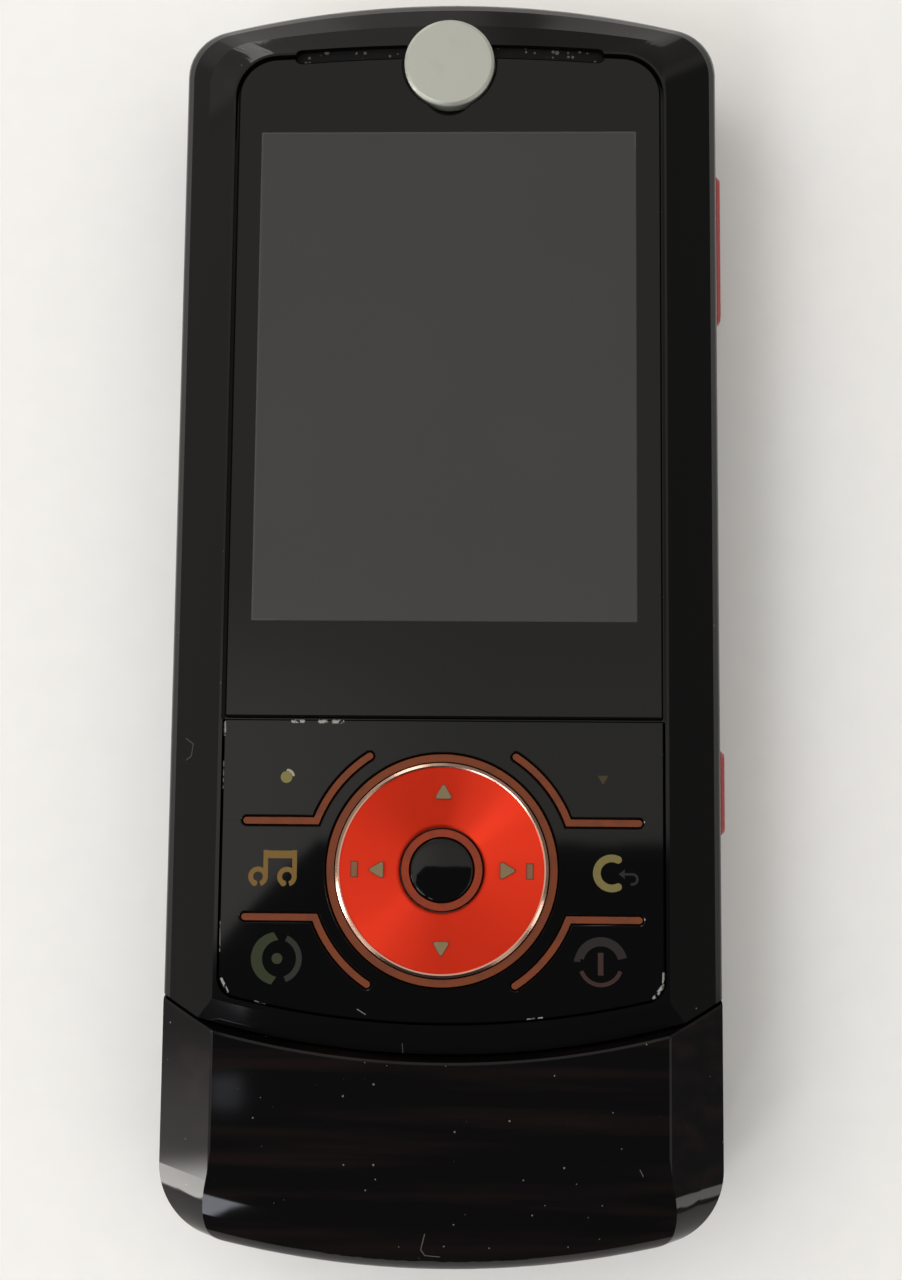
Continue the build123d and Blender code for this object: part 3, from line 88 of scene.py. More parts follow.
# ----- shader maths
class Field:
    """A value somewhere in a shader, on which Python's operators add Math nodes."""

    def __init__(self, shader: "Shader", socket: bpy.types.NodeSocket) -> None:
        """Wraps one output socket."""
        self.shader = shader
        self.socket = socket

    def math(self, operation: str, *others: "Field | float") -> "Field":
        """Adds a Math node that takes this value and then the others."""
        inputs = dict(enumerate((self, *others)))
        return self.shader.node("Math", {"operation": operation}, inputs)

    def __add__(self, other: "Field | float") -> "Field":
        """Sum."""
        return self.math("ADD", other)

    __radd__ = __add__

    def __sub__(self, other: "Field | float") -> "Field":
        """Difference."""
        return self.math("SUBTRACT", other)

    def __rsub__(self, other: float) -> "Field":
        """Difference from a number."""
        return self.math("MULTIPLY_ADD", -1.0, other)

    def __mul__(self, other: "Field | float") -> "Field":
        """Product."""
        return self.math("MULTIPLY", other)

    __rmul__ = __mul__

    def __truediv__(self, other: "Field | float") -> "Field":
        """Quotient."""
        return self.math("DIVIDE", other)

    def __abs__(self) -> "Field":
        """Size without sign."""
        return self.math("ABSOLUTE")

    def __pow__(self, other: float) -> "Field":
        """Power."""
        return self.math("POWER", other)

    def least(self, other: "Field | float") -> "Field":
        """Smaller of two values."""
        return self.math("MINIMUM", other)

    def most(self, other: "Field | float") -> "Field":
        """Larger of two values."""
        return self.math("MAXIMUM", other)

    def sine(self) -> "Field":
        """Sine."""
        return self.math("SINE")

    def step(self, low: float, high: float) -> "Field":
        """Smooth step, rising or falling.

        Args:
            low: where it is 0.
            high: where it is 1; it may be the smaller one.

        Returns:
            The step, from 0 to 1.
        """
        settings = {"interpolation_type": "SMOOTHSTEP"}
        if low < high:
            return self.shader.node("MapRange", settings, {0: self, 1: low, 2: high})
        return self.shader.node("MapRange", settings, {0: self, 1: high, 2: low, 3: 1.0, 4: 0.0})


class Shader:
    """The nodes of one material or world, all made by one method."""

    def __init__(self, tree: bpy.types.NodeTree) -> None:
        """Starts on a node tree and empties it."""
        self.tree = tree
        tree.nodes.clear()

    def node(self, kind: str, settings: dict | None = None, inputs: dict | None = None,
             output: int | str = 0) -> Field:
        """Adds one node.

        Args:
            kind: Blender's type name after "ShaderNode".
            settings: the node's own settings, which are set first.
            inputs: values or links of its sockets, by number or name.
            output: the output to return.

        Returns:
            That output.
        """
        made = self.tree.nodes.new("ShaderNode" + kind)
        for name, value in (settings or {}).items():
            setattr(made, name, value)
        for name, value in (inputs or {}).items():
            if isinstance(value, Field):
                self.tree.links.new(value.socket, made.inputs[name])
            else:
                made.inputs[name].default_value = value
        return Field(self, made.outputs[output] if len(made.outputs) else made.inputs[0])

    def axes(self, place: Field) -> list[Field]:
        """X, Y and Z of a position."""
        split = self.node("SeparateXYZ", None, {0: place})
        return [Field(self, socket) for socket in split.socket.node.outputs]

    def mix(self, factor: Field | float, low: Field | Colour, high: Field | Colour) -> Field:
        """Mixes two colours.

        Args:
            factor: 0 for the first colour, 1 for the second.
            low: the first colour.
            high: the second colour.

        Returns:
            The mixed colour.
        """
        inputs = {0: factor}
        for number, colour in ((6, low), (7, high)):
            inputs[number] = colour if isinstance(colour, Field) else (*colour, 1.0)
        return self.node("Mix", {"data_type": "RGBA"}, inputs, 2)


class Skin(Shader):
    """The nodes of a material, with the position on the phone in millimetres."""

    def __init__(self, tree: bpy.types.NodeTree) -> None:
        """Starts on a node tree and finds the position.

        Args:
            tree: the material's node tree.
        """
        super().__init__(tree)
        metres = self.node("TexCoord", output="Object")
        self.place = self.node("VectorMath", {"operation": "SCALE"}, {0: metres, "Scale": 1 / MM})
        self.x, self.y, self.z = self.axes(self.place)

    def moved(self, scale: Place, offset: float) -> Field:
        """The position, scaled and shifted for a pattern."""
        inputs = {0: self.place, "Location": (offset,) * 3, "Scale": scale}
        return self.node("Mapping", None, inputs)

    def noise(self, size: float, detail: float = 2.0, stretch: Place = (1.0, 1.0, 1.0),
              offset: float = 0.0) -> Field:
        """Soft noise with features of a size, denser along stretched axes."""
        moved = self.moved(tuple(factor / size for factor in stretch), offset)
        return self.node("TexNoise", None, {"Vector": moved, "Scale": 1.0, "Detail": detail})

    def specks(self, spacing: float, radius: float, share: float, offset: float = 0.0) -> Field:
        """Scattered round specks.

        Args:
            spacing: size of the cells that may hold one speck each.
            radius: largest radius of a speck.
            share: share of the cells that hold one.
            offset: shifts the pattern.

        Returns:
            1 on a speck and 0 elsewhere.
        """
        moved = self.moved((1 / spacing,) * 3, offset)
        cell = self.node("TexVoronoi", None, {"Vector": moved, "Scale": 1.0, "Randomness": 0.9})
        colour = Field(self, cell.socket.node.outputs["Color"])
        chance, size, _ = self.axes(colour)
        largest = radius / spacing
        inside = (size * largest - cell).step(0.0, 0.25 * largest)
        return inside * chance.step(share + 0.01, share)

    def segment(self, start: Point, end: Point, width: float) -> Field:
        """A straight scratch.

        Args:
            start: first end.
            end: other end.
            width: full width.

        Returns:
            1 on the line and 0 away from it.
        """
        run = (end[0] - start[0], end[1] - start[1])
        square = run[0] ** 2 + run[1] ** 2
        x, y = self.x, self.y
        along = (x - start[0]) * (run[0] / square) + (y - start[1]) * (run[1] / square)
        along = along.most(0.0).least(1.0)
        off_x = x - (along * run[0] + start[0])
        off_y = y - (along * run[1] + start[1])
        return (off_x * off_x + off_y * off_y).step((width / 2) ** 2, (width / 5) ** 2)

    def reach(self, centre: Point) -> Field:
        """Distance from an upright axis through a centre."""
        off_x, off_y = self.x - centre[0], self.y - centre[1]
        return (off_x * off_x + off_y * off_y) ** 0.5

    def bump(self, height: Field, depth: float) -> Field:
        """Turns a height into a normal; a height of 1 is depth millimetres."""
        inputs = {"Height": height, "Distance": depth * MM, "Strength": 1.0}
        return self.node("Bump", None, inputs)


# ----- finishes
Links = dict[str, Field]  # what feeds a surface, by socket


@dataclass(frozen=True)
class Finish:
    """A finish: a plain base that the kinds below vary over the surface.

    turned is the grain's direction round the surface, in turns, where it is anisotropic.
    """

    name: str
    colour: Colour
    roughness: float = 0.4
    metallic: float = 0.0
    ior: float = 1.5
    anisotropic: float = 0.0
    turned: float = 0.0
    mottle: float = 0.8
    mottle_size: float = 3.0
    grain_size: float = 0.12
    grain_depth: float = 0.004

    def scaled(self, factor: float) -> Colour:
        """The finish's colour, lighter or darker by a factor."""
        return tuple(factor * part for part in self.colour)

    def vary(self, skin: Skin) -> Links:
        """What varies over the surface: on a plain finish a faint mottle and grain.

        Args:
            skin: the material's nodes.

        Returns:
            The surface's links.
        """
        cloud = skin.noise(self.mottle_size, 3.0)
        grain = skin.noise(self.grain_size, 1.0)
        return {
            "Base Color": skin.mix(cloud, self.scaled(self.mottle), self.colour),
            "Roughness": (cloud - 0.5) * 0.12 + self.roughness,
            "Normal": skin.bump(grain, self.grain_depth),
        }

    def material(self) -> bpy.types.Material:
        """Makes the material once.

        Returns:
            The new material, or the one made before.
        """
        found = bpy.data.materials.get(self.name)
        if found:
            return found
        made = bpy.data.materials.new(self.name)
        made.use_nodes = True
        skin = Skin(made.node_tree)
        inputs = {
            "Base Color": (*self.colour, 1.0),
            "Roughness": self.roughness,
            "Metallic": self.metallic,
            "IOR": self.ior,
            "Anisotropic": self.anisotropic,
            "Anisotropic Rotation": self.turned,
        }
        inputs.update(self.vary(skin))
        surface = skin.node("BsdfPrincipled", None, inputs)
        skin.node("OutputMaterial", None, {"Surface": surface})
        return made


@dataclass(frozen=True)
class PianoBlack(Finish):
    """Polished black plastic with ticks, specks of dust and faint brown streaks.

    brown is how much stronger each part of the colour is in a streak.
    """

    ior: float = 1.36
    ticks: tuple[tuple[Point, ...], ...] = ()
    tick_width: float = 0.09
    tick_light: float = 0.5
    dust: float = 0.02
    dust_light: float = 0.4
    streaks: float = 0.0
    brown: Colour = (3.2, 2.2, 1.9)
    pale: Colour = (0.3, 0.29, 0.27)

    def wear(self, skin: Skin) -> Field:
        """Marks that show lighter than the plastic: scratches, dust and chips.

        Args:
            skin: the material's nodes.

        Returns:
            How strongly a mark shows, from 0 to 1.
        """
        marks = skin.specks(0.9, 0.1, self.dust) * self.dust_light
        for line in self.ticks:
            for start, end in zip(line, line[1:]):
                tick = skin.segment(start, end, self.tick_width)
                marks = marks.most(tick * self.tick_light)
        return marks

    def vary(self, skin: Skin) -> Links:
        """Polish broken by scratches, specks and a faint film.

        Args:
            skin: the material's nodes.

        Returns:
            The surface's links.
        """
        marks = self.wear(skin)
        film = skin.noise(7.0, 4.0, (1.0, 2.6, 1.0))
        base = self.colour
        if self.streaks:
            brown = tuple(part * scale for part, scale in zip(self.colour, self.brown))
            streak = skin.noise(1.6, 3.0, (0.06, 1.0, 1.0), 5.0).step(0.45, 0.7)
            base = skin.mix(streak * self.streaks, self.colour, brown)
        return {
            "Base Color": skin.mix(marks, base, self.pale),
            "Roughness": film * 0.03 + self.roughness + marks * 0.3,
        }


@dataclass(frozen=True)
class RimBlack(PianoBlack):
    """The slider's bevelled frame, rolled over at its head, with dust caught along the lens.

    The slope turns by roll above roll_height at the head, and by edge below edge_height
    along the outer edge.
    """

    lens_half: float = 18.1
    lens_foot: float = -9.3
    fluff_light: float = 0.6
    roll_height: float = 13.95
    roll: float = -0.3
    edge_height: float = 12.75
    edge: float = 0.35

    def wear(self, skin: Skin) -> Field:
        """Adds specks in the groove beside the lens.

        Args:
            skin: the material's nodes.

        Returns:
            How strongly a mark shows, from 0 to 1.
        """
        marks = super().wear(skin)
        beside = abs(abs(skin.x) - self.lens_half).step(0.35, 0.15)
        beside = beside * (skin.y - self.lens_foot).step(0.0, 1.0)
        specks = skin.specks(0.5, 0.11, 0.3, 2.0)
        return marks.most(specks * beside * self.fluff_light)

    def vary(self, skin: Skin) -> Links:
        """Adds the rolled inner half of the slope at the head, and the rolled outer edge.

        Args:
            skin: the material's nodes.

        Returns:
            The surface's links.
        """
        x, y, z = skin.x, skin.y, skin.z
        head = y.step(38.0, 48.0) * x.step(18.5, 15.5)
        height = (z - self.roll_height).most(0.0) * head * self.roll
        upper = y.step(-50.0, 10.0) * 0.7 + 0.3
        height = height + (z - self.edge_height).least(0.0) * upper * self.edge
        return {**super().vary(skin), "Normal": skin.bump(height, 1.0)}


@dataclass(frozen=True)
class PanelBlack(PianoBlack):
    """The glossy key panel, chipped pale in places along its outline.

    A chip has two ends and a width.
    """

    chip_light: float = 0.9
    chips: tuple[tuple[Point, Point, float], ...] = (
        ((-12.35, -9.66), (-11.5, -9.66), 0.36),
        ((-10.1, -9.66), (-8.3, -9.66), 0.42),
        ((-17.98, -9.8), (-17.94, -10.8), 0.26),
        ((-18.0, -13.0), (-18.0, -15.2), 0.12),
        ((-17.98, -26.0), (-17.95, -28.6), 0.1),
        ((-17.75, -30.6), (-17.25, -31.6), 0.26),
        ((-15.0, -32.35), (-14.2, -32.6), 0.16),
        ((17.95, -29.8), (17.9, -30.9), 0.26),
        ((17.85, -30.9), (17.2, -31.75), 0.42),
        ((7.0, -33.55), (8.2, -33.4), 0.14),
    )

    def wear(self, skin: Skin) -> Field:
        """Adds ragged pale chips along the panel's outline.

        Args:
            skin: the material's nodes.

        Returns:
            How strongly a mark shows, from 0 to 1.
        """
        marks = super().wear(skin)
        ragged = skin.noise(0.35, 3.0, offset=3.0).step(0.4, 0.52)
        whole = reduce(Field.most, [skin.segment(*chip) for chip in self.chips])
        return marks.most(whole * ragged * self.chip_light)


@dataclass(frozen=True)
class LensPane(Finish):
    """Plastic lens, printed black on its back round a window that shows the display's grey.

    The window's left, foot, right and head are in millimetres; cover is how far the grey
    hides the display behind it.
    """

    window: tuple[float, float, float, float] = (-15.97, -1.33, 15.89, 40.67)
    glass: Colour = (0.041, 0.0405, 0.039)
    # Painted light on the display's grey: how much lighter the sheen makes it, and the colour and
    # strength of the highlight along the window's upper and left edges.
    sheen_gain: float = 1.3
    cover: float = 0.86
    edge_highlight_colour: Colour = (0.2, 0.2, 0.19)
    edge_highlight_level: float = 0.12
    dust_colour: Colour = (0.4, 0.4, 0.38)

    def vary(self, skin: Skin) -> Links:
        """Black print outside the window; inside, unlit-display grey with a painted sheen and a
        painted edge highlight.

        Args:
            skin: the material's nodes.

        Returns:
            The surface's links.
        """
        x, y = skin.x, skin.y
        left, foot, right, head = self.window
        inside = (x - left).least(right - x).least((y - foot).least(head - y))
        window = inside.step(-0.02, 0.04)
        # Painted highlight: a paler line just inside the window's upper and left edges.
        upper_left = (x + 14.0).step(1.0, -1.0).most((y - 39.0).step(-1.0, 1.0))
        edge_highlight = window * inside.step(0.2, 0.06) * upper_left
        dust = skin.specks(3.0, 0.09, 0.05).most(skin.specks(6.1, 0.14, 0.05, 5.0))
        # Painted sheen: the grey is lighter towards the lower left, mixed with a random cloud.
        lift = (y * -0.006 - x * 0.005 + 0.3).most(0.0).least(1.0)
        cloud = skin.noise(12.0, 3.0)
        brighter = tuple(self.sheen_gain * part for part in self.glass)
        grey = skin.mix((lift + (cloud - 0.5) * 0.4).most(0.0).least(1.0), self.glass, brighter)
        grey = skin.mix(edge_highlight * self.edge_highlight_level, grey, self.edge_highlight_colour)
        film = skin.noise(14.0, 4.0, (1.0, 1.6, 1.0))
        clean = skin.mix(window, self.colour, grey)
        return {
            "Base Color": skin.mix(dust * 0.25, clean, self.dust_colour),
            "Roughness": film * 0.04 + self.roughness + dust * 0.2,
            "Alpha": (window * (self.cover - 1.0) + 1.0).most(dust * 0.5),
        }


@dataclass(frozen=True)
class DisplayGlass(Finish):
    """Switched-off display behind the lens."""

    def vary(self, skin: Skin) -> Links:
        """Grey with a faint cloud."""
        cloud = skin.noise(12.0, 3.0)
        return {"Base Color": skin.mix(cloud, self.colour, self.scaled(1.2))}


@dataclass(frozen=True)
class TurnedRed(Finish):
    """Red-lacquered turned metal, finely streaked round its centre."""

    def vary(self, skin: Skin) -> Links:
        """Fine rings in the lacquer, and painted shade darkening it round the bore.

        Args:
            skin: the material's nodes.

        Returns:
            The surface's links.
        """
        reach = skin.reach(RING_CENTRE)
        rings = skin.node("CombineXYZ", None, {0: reach * 5.0})
        streak = skin.node("TexNoise", None, {"Vector": rings, "Scale": 1.0, "Detail": 3.0})
        # Painted shade: the red darkens towards the bore's edge, and the turned rings darken it in
        # streaks.
        bore_shade_and_rings = (reach - RING_BORE).step(0.05, 0.4) * (streak * 0.5 + 0.78).least(1.0)
        return {
            "Base Color": skin.mix(bore_shade_and_rings, self.scaled(0.8), self.colour),
            "Roughness": (streak - 0.5) * 0.06 + self.roughness,
        }


@dataclass(frozen=True)
class Amber(Finish):
    """Dull amber light guide with dirt in its slots, and a painted red reflection round the select
    key.
    """

    inner: float = 4.2
    red_reflection_colour: Colour = (0.215, 0.027, 0.006)
    dirt_colour: Colour = (0.08, 0.03, 0.02)

    def vary(self, skin: Skin) -> Links:
        """Duller, darker patches where dust has settled.

        Args:
            skin: the material's nodes.

        Returns:
            The surface's links.
        """
        # Painted reflection: the guide is redder round the select key, where the red ring mirrors
        # in it.
        near = skin.reach(RING_CENTRE).step(self.inner + 0.4, self.inner)
        clean = skin.mix(near, self.colour, self.red_reflection_colour)
        dirt = skin.noise(1.2, 4.0, offset=2.0).step(0.42, 0.7)
        grain = skin.noise(0.15, 2.0)
        return {
            "Base Color": skin.mix(dirt * 0.45, clean, self.dirt_colour),
            "Roughness": dirt * 0.3 + self.roughness,
            "Normal": skin.bump(grain, 0.01),
        }


@dataclass(frozen=True)
class Satin(Finish):
    """Silver disc with a fine satin face and a little staining."""

    def vary(self, skin: Skin) -> Links:
        """Fine brushing and a little staining.

        Args:
            skin: the material's nodes.

        Returns:
            The surface's links.
        """
        brush = skin.noise(0.5, 3.0, (1.0, 12.0, 1.0))
        stain = skin.noise(2.0, 3.0, offset=1.0).step(0.52, 0.8)
        return {
            "Base Color": skin.mix(stain * 0.6, self.colour, self.scaled(0.88)),
            "Roughness": (brush - 0.5) * 0.08 + self.roughness,
            "Normal": skin.bump(brush, 0.002),
        }


@dataclass(frozen=True)
class Dusty(Finish):
    """Dark recess with pale fluff caught in it."""

    fluff: Colour = (0.16, 0.14, 0.12)

    def vary(self, skin: Skin) -> Links:
        """Scattered pale specks on the dark ground."""
        caught = skin.specks(0.45, 0.17, 0.9).most(skin.specks(1.1, 0.3, 0.6, 3.0))
        return {"Base Color": skin.mix(caught * 0.5, self.colour, self.fluff)}


@dataclass(frozen=True)
class Ink(Finish):
    """Thin dull print."""

    ior: float = 1.3


@dataclass(frozen=True)
class CircuitGreen(Finish):
    """Solder-masked board with faint tracks."""

    def vary(self, skin: Skin) -> Links:
        """Slightly paler tracks in two directions.

        Args:
            skin: the material's nodes.

        Returns:
            The surface's links.
        """
        x, y = skin.x, skin.y
        tracks = (x * 5.0).sine().step(0.75, 0.9).most((y * 5.0).sine().step(0.85, 0.95))
        patch = skin.noise(5.0, 1.0).step(0.45, 0.55)
        return {"Base Color": skin.mix(tracks * patch, self.colour, self.scaled(1.6))}


class Look(Enum):
    """Every finish on the phone."""

    HOUSING = PianoBlack("gloss_housing", (0.0028, 0.0026, 0.0026), 0.05)
    RIM = RimBlack("gloss_rim", (0.0028, 0.0026, 0.0026), 0.04, dust=0.03, tick_light=0.16,
                   ticks=(((-3.06, -35.6), (-3.02, -36.4)),
                          ((-21.5, -11.0), (-20.8, -11.5), (-20.95, -12.5), (-21.4, -12.8))))
    CHIN = PianoBlack("gloss_chin", (0.003, 0.0026, 0.0028), 0.03, dust=0.6, streaks=0.65,
                      tick_light=0.28,
                      ticks=(((-1.1, -50.5), (-1.42, -51.8), (-1.1, -52.3), (0.1, -52.4)),
                             ((16.0, -45.2), (16.25, -45.7))))
    PANEL = PanelBlack("gloss_panel", (0.0024, 0.0024, 0.0024), 0.02, dust=0.04,
                       ticks=(((-6.7, -32.9), (-6.05, -33.3)),))
    SELECT = PianoBlack("gloss_select", (0.0024, 0.0024, 0.0024), 0.02)
    LENS = LensPane("lens_pane", (0.003, 0.0028, 0.0026), 0.035, ior=1.36)
    DISPLAY = DisplayGlass("display_face", (0.04, 0.0395, 0.038), 0.2)
    RING = TurnedRed("turned_red", (0.79, 0.034, 0.008), 0.4, 0.75, anisotropic=0.9, turned=0.25)
    CHROME = Finish("bevel_chrome", (0.79, 0.49, 0.37), 0.2, 1.0)
    GUIDE = Amber("dull_amber", (0.148, 0.034, 0.01), 0.4, ior=1.3)
    DISC = Satin("silver_disc", (0.44, 0.445, 0.39), 0.4, 0.5)
    SIDE_KEYS = Finish("red_side_keys", (0.36, 0.018, 0.015), 0.25)
    SATIN_BLACK = Finish("satin_black", (0.012, 0.012, 0.012), 0.38)
    INNER = Finish("inner_plastic", (0.02, 0.02, 0.021), 0.5)
    STEEL = Finish("sheet_steel", (0.5, 0.5, 0.48), 0.34, 1.0)
    MESH = Dusty("dusty_mesh", (0.004, 0.0035, 0.0035), 0.6, ior=1.25)
    BOARD = CircuitGreen("circuit_board", (0.015, 0.07, 0.03), 0.35)
    SILICONE = Finish("silicone_mat", (0.02, 0.02, 0.02), 0.55)
    CARD = Finish("card_plastic", (0.7, 0.69, 0.66), 0.45)
    CELL = Finish("cell_case", (0.05, 0.05, 0.055), 0.4)
    FOAM = Finish("gasket_foam", (0.01, 0.01, 0.01), 0.8)
    DIGIT_KEY = Finish("digit_key_black", (0.008, 0.008, 0.008), 0.25)
    MENU_INK = Ink("menu_ink", (0.175, 0.155, 0.052))
    OLIVE_INK = Ink("olive_ink", (0.155, 0.126, 0.043))
    GOLD_INK = Ink("gold_ink", (0.165, 0.094, 0.021))
    GREEN_INK = Ink("green_ink", (0.025, 0.031, 0.013))
    DIM_GREEN_INK = Ink("dim_green_ink", (0.019, 0.019, 0.015))
    GREY_INK = Ink("grey_ink", (0.017, 0.014, 0.0135))
    MAUVE_INK = Ink("mauve_ink", (0.036, 0.017, 0.0145))
    DIM_GOLD_INK = Ink("dim_gold_ink", (0.045, 0.032, 0.014))
    # Painted highlight for the left menu dot.
    PAINTED_GLINT = Ink("painted_glint", (0.3, 0.28, 0.2))
    MARK_INK = Ink("mark_ink", (0.19, 0.143, 0.072), 0.45)
    BAR_INK = Ink("bar_ink", (0.195, 0.09, 0.045), 0.45)
    MARK_EDGE = Ink("mark_edge", (0.16, 0.035, 0.02), 0.5)
    DIGIT_INK = Finish("digit_ink", (0.6, 0.6, 0.58), 0.4)

    def on(self, piece: bpy.types.Object) -> None:
        """Puts the finish on a whole piece.

        Args:
            piece: a CAD node's object or a new one.
        """
        if not piece.material_slots:
            piece.data.materials.append(self.value.material())
        for slot in piece.material_slots:
            slot.material = self.value.material()


NODE_LOOKS = {
    Look.HOUSING: ("base_front_housing",),
    Look.RIM: ("slider_frame",),
    Look.CHIN: ("chin_cover",),
    Look.LENS: ("lens", "camera_windows"),
    Look.DISPLAY: ("display_module",),
    Look.GUIDE: ("light_guide",),
    Look.SIDE_KEYS: ("volume_rocker", "side_key"),
    Look.SATIN_BLACK: ("base_rear_housing", "battery_cover", "slider_rear_cover"),
    Look.INNER: ("battery_contacts", "headset_jack", "loudspeaker", "microphone", "antenna",
                 "side_switches", "earpiece", "camera_module", "flex_cable"),
    Look.STEEL: ("sim_holder", "shield_cans", "usb_socket", "vibration_motor", "slide_guide",
                 "housing_screws", "slide_plate", "slide_springs", "nav_gimbal", "slider_screws"),
    Look.MESH: ("earpiece_mesh",),
    Look.BOARD: ("main_board", "slider_board"),
    Look.SILICONE: ("keypad_mat", "slider_key_mat"),
    Look.CARD: ("sim_card",),
    Look.CELL: ("battery",),
    Look.FOAM: ("display_gasket",),
    Look.DIGIT_KEY: tuple(f"key_{name}" for name in "star 0 hash 1 2 3 4 5 6 7 8 9".split()),
}


# ----- mesh helpers
def finish_piece(mesh: bmesh.types.BMesh, name: str, body: str, look: Look,
                 replaces: Sequence[str] = (), smooth: bool = True,
                 turn_out: bool = True) -> bpy.types.Object:
    """Turns a bmesh in millimetres into a finished piece.

    Args:
        mesh: the bmesh, which is freed.
        name: the piece's name.
        body: the CAD body that it rides on.
        look: its finish.
        replaces: CAD nodes that it stands for.
        smooth: whether faces that meet at a small angle are shaded as one.
        turn_out: whether its faces still have to be turned outwards.

    Returns:
        The new object.
    """
    bmesh.ops.remove_doubles(mesh, verts=mesh.verts, dist=MERGE)
    if turn_out:
        bmesh.ops.recalc_face_normals(mesh, faces=mesh.faces)
    bmesh.ops.scale(mesh, vec=(MM,) * 3, verts=mesh.verts)
    data = bpy.data.meshes.new(name)
    mesh.to_mesh(data)
    mesh.free()
    piece = add_object(name, data)
    if smooth:
        data.shade_smooth()
        data.set_sharp_from_angle(angle=math.radians(SMOOTH_BELOW))
    look.on(piece)
    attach(piece, body)
    if replaces:
        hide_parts(*replaces)
    log.info("%s: %d faces, rides on %s", name, len(data.polygons), body)
    return piece


def spin_profile(profile: Sequence[Point], centre: Point, steps: int) -> bmesh.types.BMesh:
    """Spins a profile round an upright axis.

    Args:
        profile: points of radius and height.
        centre: where the axis stands.
        steps: number of steps round.

    Returns:
        A new bmesh.
    """
    mesh = bmesh.new()
    verts = [mesh.verts.new((centre[0] + radius, centre[1], height)) for radius, height in profile]
    edges = [mesh.edges.new(pair) for pair in zip(verts, verts[1:])]
    bmesh.ops.spin(mesh, geom=verts + edges, cent=(*centre, 0.0), axis=(0, 0, 1), dvec=(0, 0, 0),
                   angle=math.tau, steps=steps, use_merge=True)
    return mesh


def raise_outline(mesh: bmesh.types.BMesh, outline: Sequence[Point], low: float,
                  high: float) -> None:
    """Makes a flat outline and extrudes it upwards.

    Args:
        mesh: takes the new faces.
        outline: the closed outline.
        low: height of its foot.
        high: height of its top.
    """
    face = mesh.faces.new([mesh.verts.new((x, y, low)) for x, y in outline])
    made = bmesh.ops.extrude_face_region(mesh, geom=[face])
    verts = [item for item in made["geom"] if isinstance(item, bmesh.types.BMVert)]
    bmesh.ops.translate(mesh, vec=(0, 0, high - low), verts=verts)


def arc(centre: Point, radius: float, start: float, end: float, steps: int = 24) -> list[Point]:
    """Points along part of a circle, between two angles in degrees."""
    angles = [math.radians(start + (end - start) * i / steps) for i in range(steps + 1)]
    return [(centre[0] + radius * math.cos(a), centre[1] + radius * math.sin(a)) for a in angles]


def dome(radius: float, top: float, rise: float, steps: int = 8) -> list[Point]:
    """Profile of a shallow dome, from just inside its edge to its middle."""
    shares = [1 - i / steps for i in range(1, steps + 1)]
    return [(radius * share, top - rise * share ** 2) for share in shares]


def band(centre: Point, inner: float, outer: float, start: float, end: float) -> list[Point]:
    """Outline of part of a ring, between two angles in degrees."""
    return arc(centre, outer, start, end) + arc(centre, inner, start, end)[::-1]


def crescent(centre: Point, outer: float, inner: float, shift: float, start: float,
             end: float) -> list[Point]:
    """Outline between two arcs of which the inner one is shifted sideways by shift."""
    moved = (centre[0] + shift, centre[1])
    return arc(centre, outer, start, end) + arc(moved, inner, start, end)[::-1]


def round_dot(centre: Point, radius: float) -> list[Point]:
    """Outline of a circle."""
    return arc(centre, radius, 0, 360)[:-1]


def bar(centre: Point, width: float, height: float) -> list[Point]:
    """Outline of an upright bar."""
    corners = ((-1, -1), (1, -1), (1, 1), (-1, 1))
    return [(centre[0] + i * width / 2, centre[1] + j * height / 2) for i, j in corners]


def rounded_triangle(centre: Point, reach: float, turn: float, corner: float) -> list[Point]:
    """Outline of an even triangle with round corners.

    Args:
        centre: its middle.
        reach: from its middle to a tip.
        turn: where its first tip points, in degrees.
        corner: radius of its corners.

    Returns:
        The outline.
    """
    outline = []
    for angle in (turn, turn + 120, turn + 240):
        tip = arc(centre, reach - 2 * corner, angle, angle, 1)[0]
        outline += arc(tip, corner, angle - 60, angle + 60, 6)
    return outline


# ----- the pieces
@dataclass
class KeyCaps:
    """The six glossy caps, closed up to a hair's breadth so that no seam shows at rest.

    The seams run up the middle, along two level lines outside line_reach, and on four
    diagonals, all measured from the ring's centre.
    """

    names: tuple[str, ...] = ("soft_key_left", "soft_key_right", "music_key", "clear_key",
                              "send_key", "end_key")
    half_gap: float = 0.031
    hair: float = 0.004
    head: float = -9.51
    line_offset: float = 3.9
    line_reach: float = 16.0
    diagonal: float = 57.0

    def close(self, vert: bmesh.types.BMVert) -> None:
        """Moves a vertex beside a seam to a hair's breadth from the seam's middle.

        Vertices at the lens bar are kept just clear of it.

        Args:
            vert: a vertex of a cap, in millimetres.
        """
        vert.co.y = min(vert.co.y, self.head)
        middle_x, middle_y = RING_CENTRE
        across, along = vert.co.x - middle_x, vert.co.y - middle_y
        if abs(across) < self.half_gap:
            vert.co.x = middle_x + math.copysign(self.hair, across)
        aside = abs(along) - self.line_offset
        if abs(across) > self.line_reach and abs(aside) < self.half_gap:
            offset = self.line_offset + math.copysign(self.hair, aside)
            vert.co.y = middle_y + math.copysign(offset, along)
        turn = math.radians(self.diagonal)
        seam = Vector((math.copysign(math.cos(turn), across), math.copysign(math.sin(turn), along)))
        spot = Vector((across, along))
        middle = spot.dot(seam) * seam
        off = spot - middle
        if 0 < off.length < self.half_gap:
            near = middle + off.normalized() * self.hair
            vert.co.x, vert.co.y = middle_x + near.x, middle_y + near.y

    def build(self) -> None:
        """Makes one closed-up copy of each cap."""
        for name in self.names:
            mesh = bmesh.new()
            mesh.from_mesh(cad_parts[name].data)
            bmesh.ops.scale(mesh, vec=(1 / MM,) * 3, verts=mesh.verts)
            bmesh.ops.remove_doubles(mesh, verts=mesh.verts, dist=10 * MERGE)
            for vert in mesh.verts:
                self.close(vert)
            finish_piece(mesh, f"{name}_cap", name, Look.PANEL, (name,),
                         smooth=False, turn_out=False)


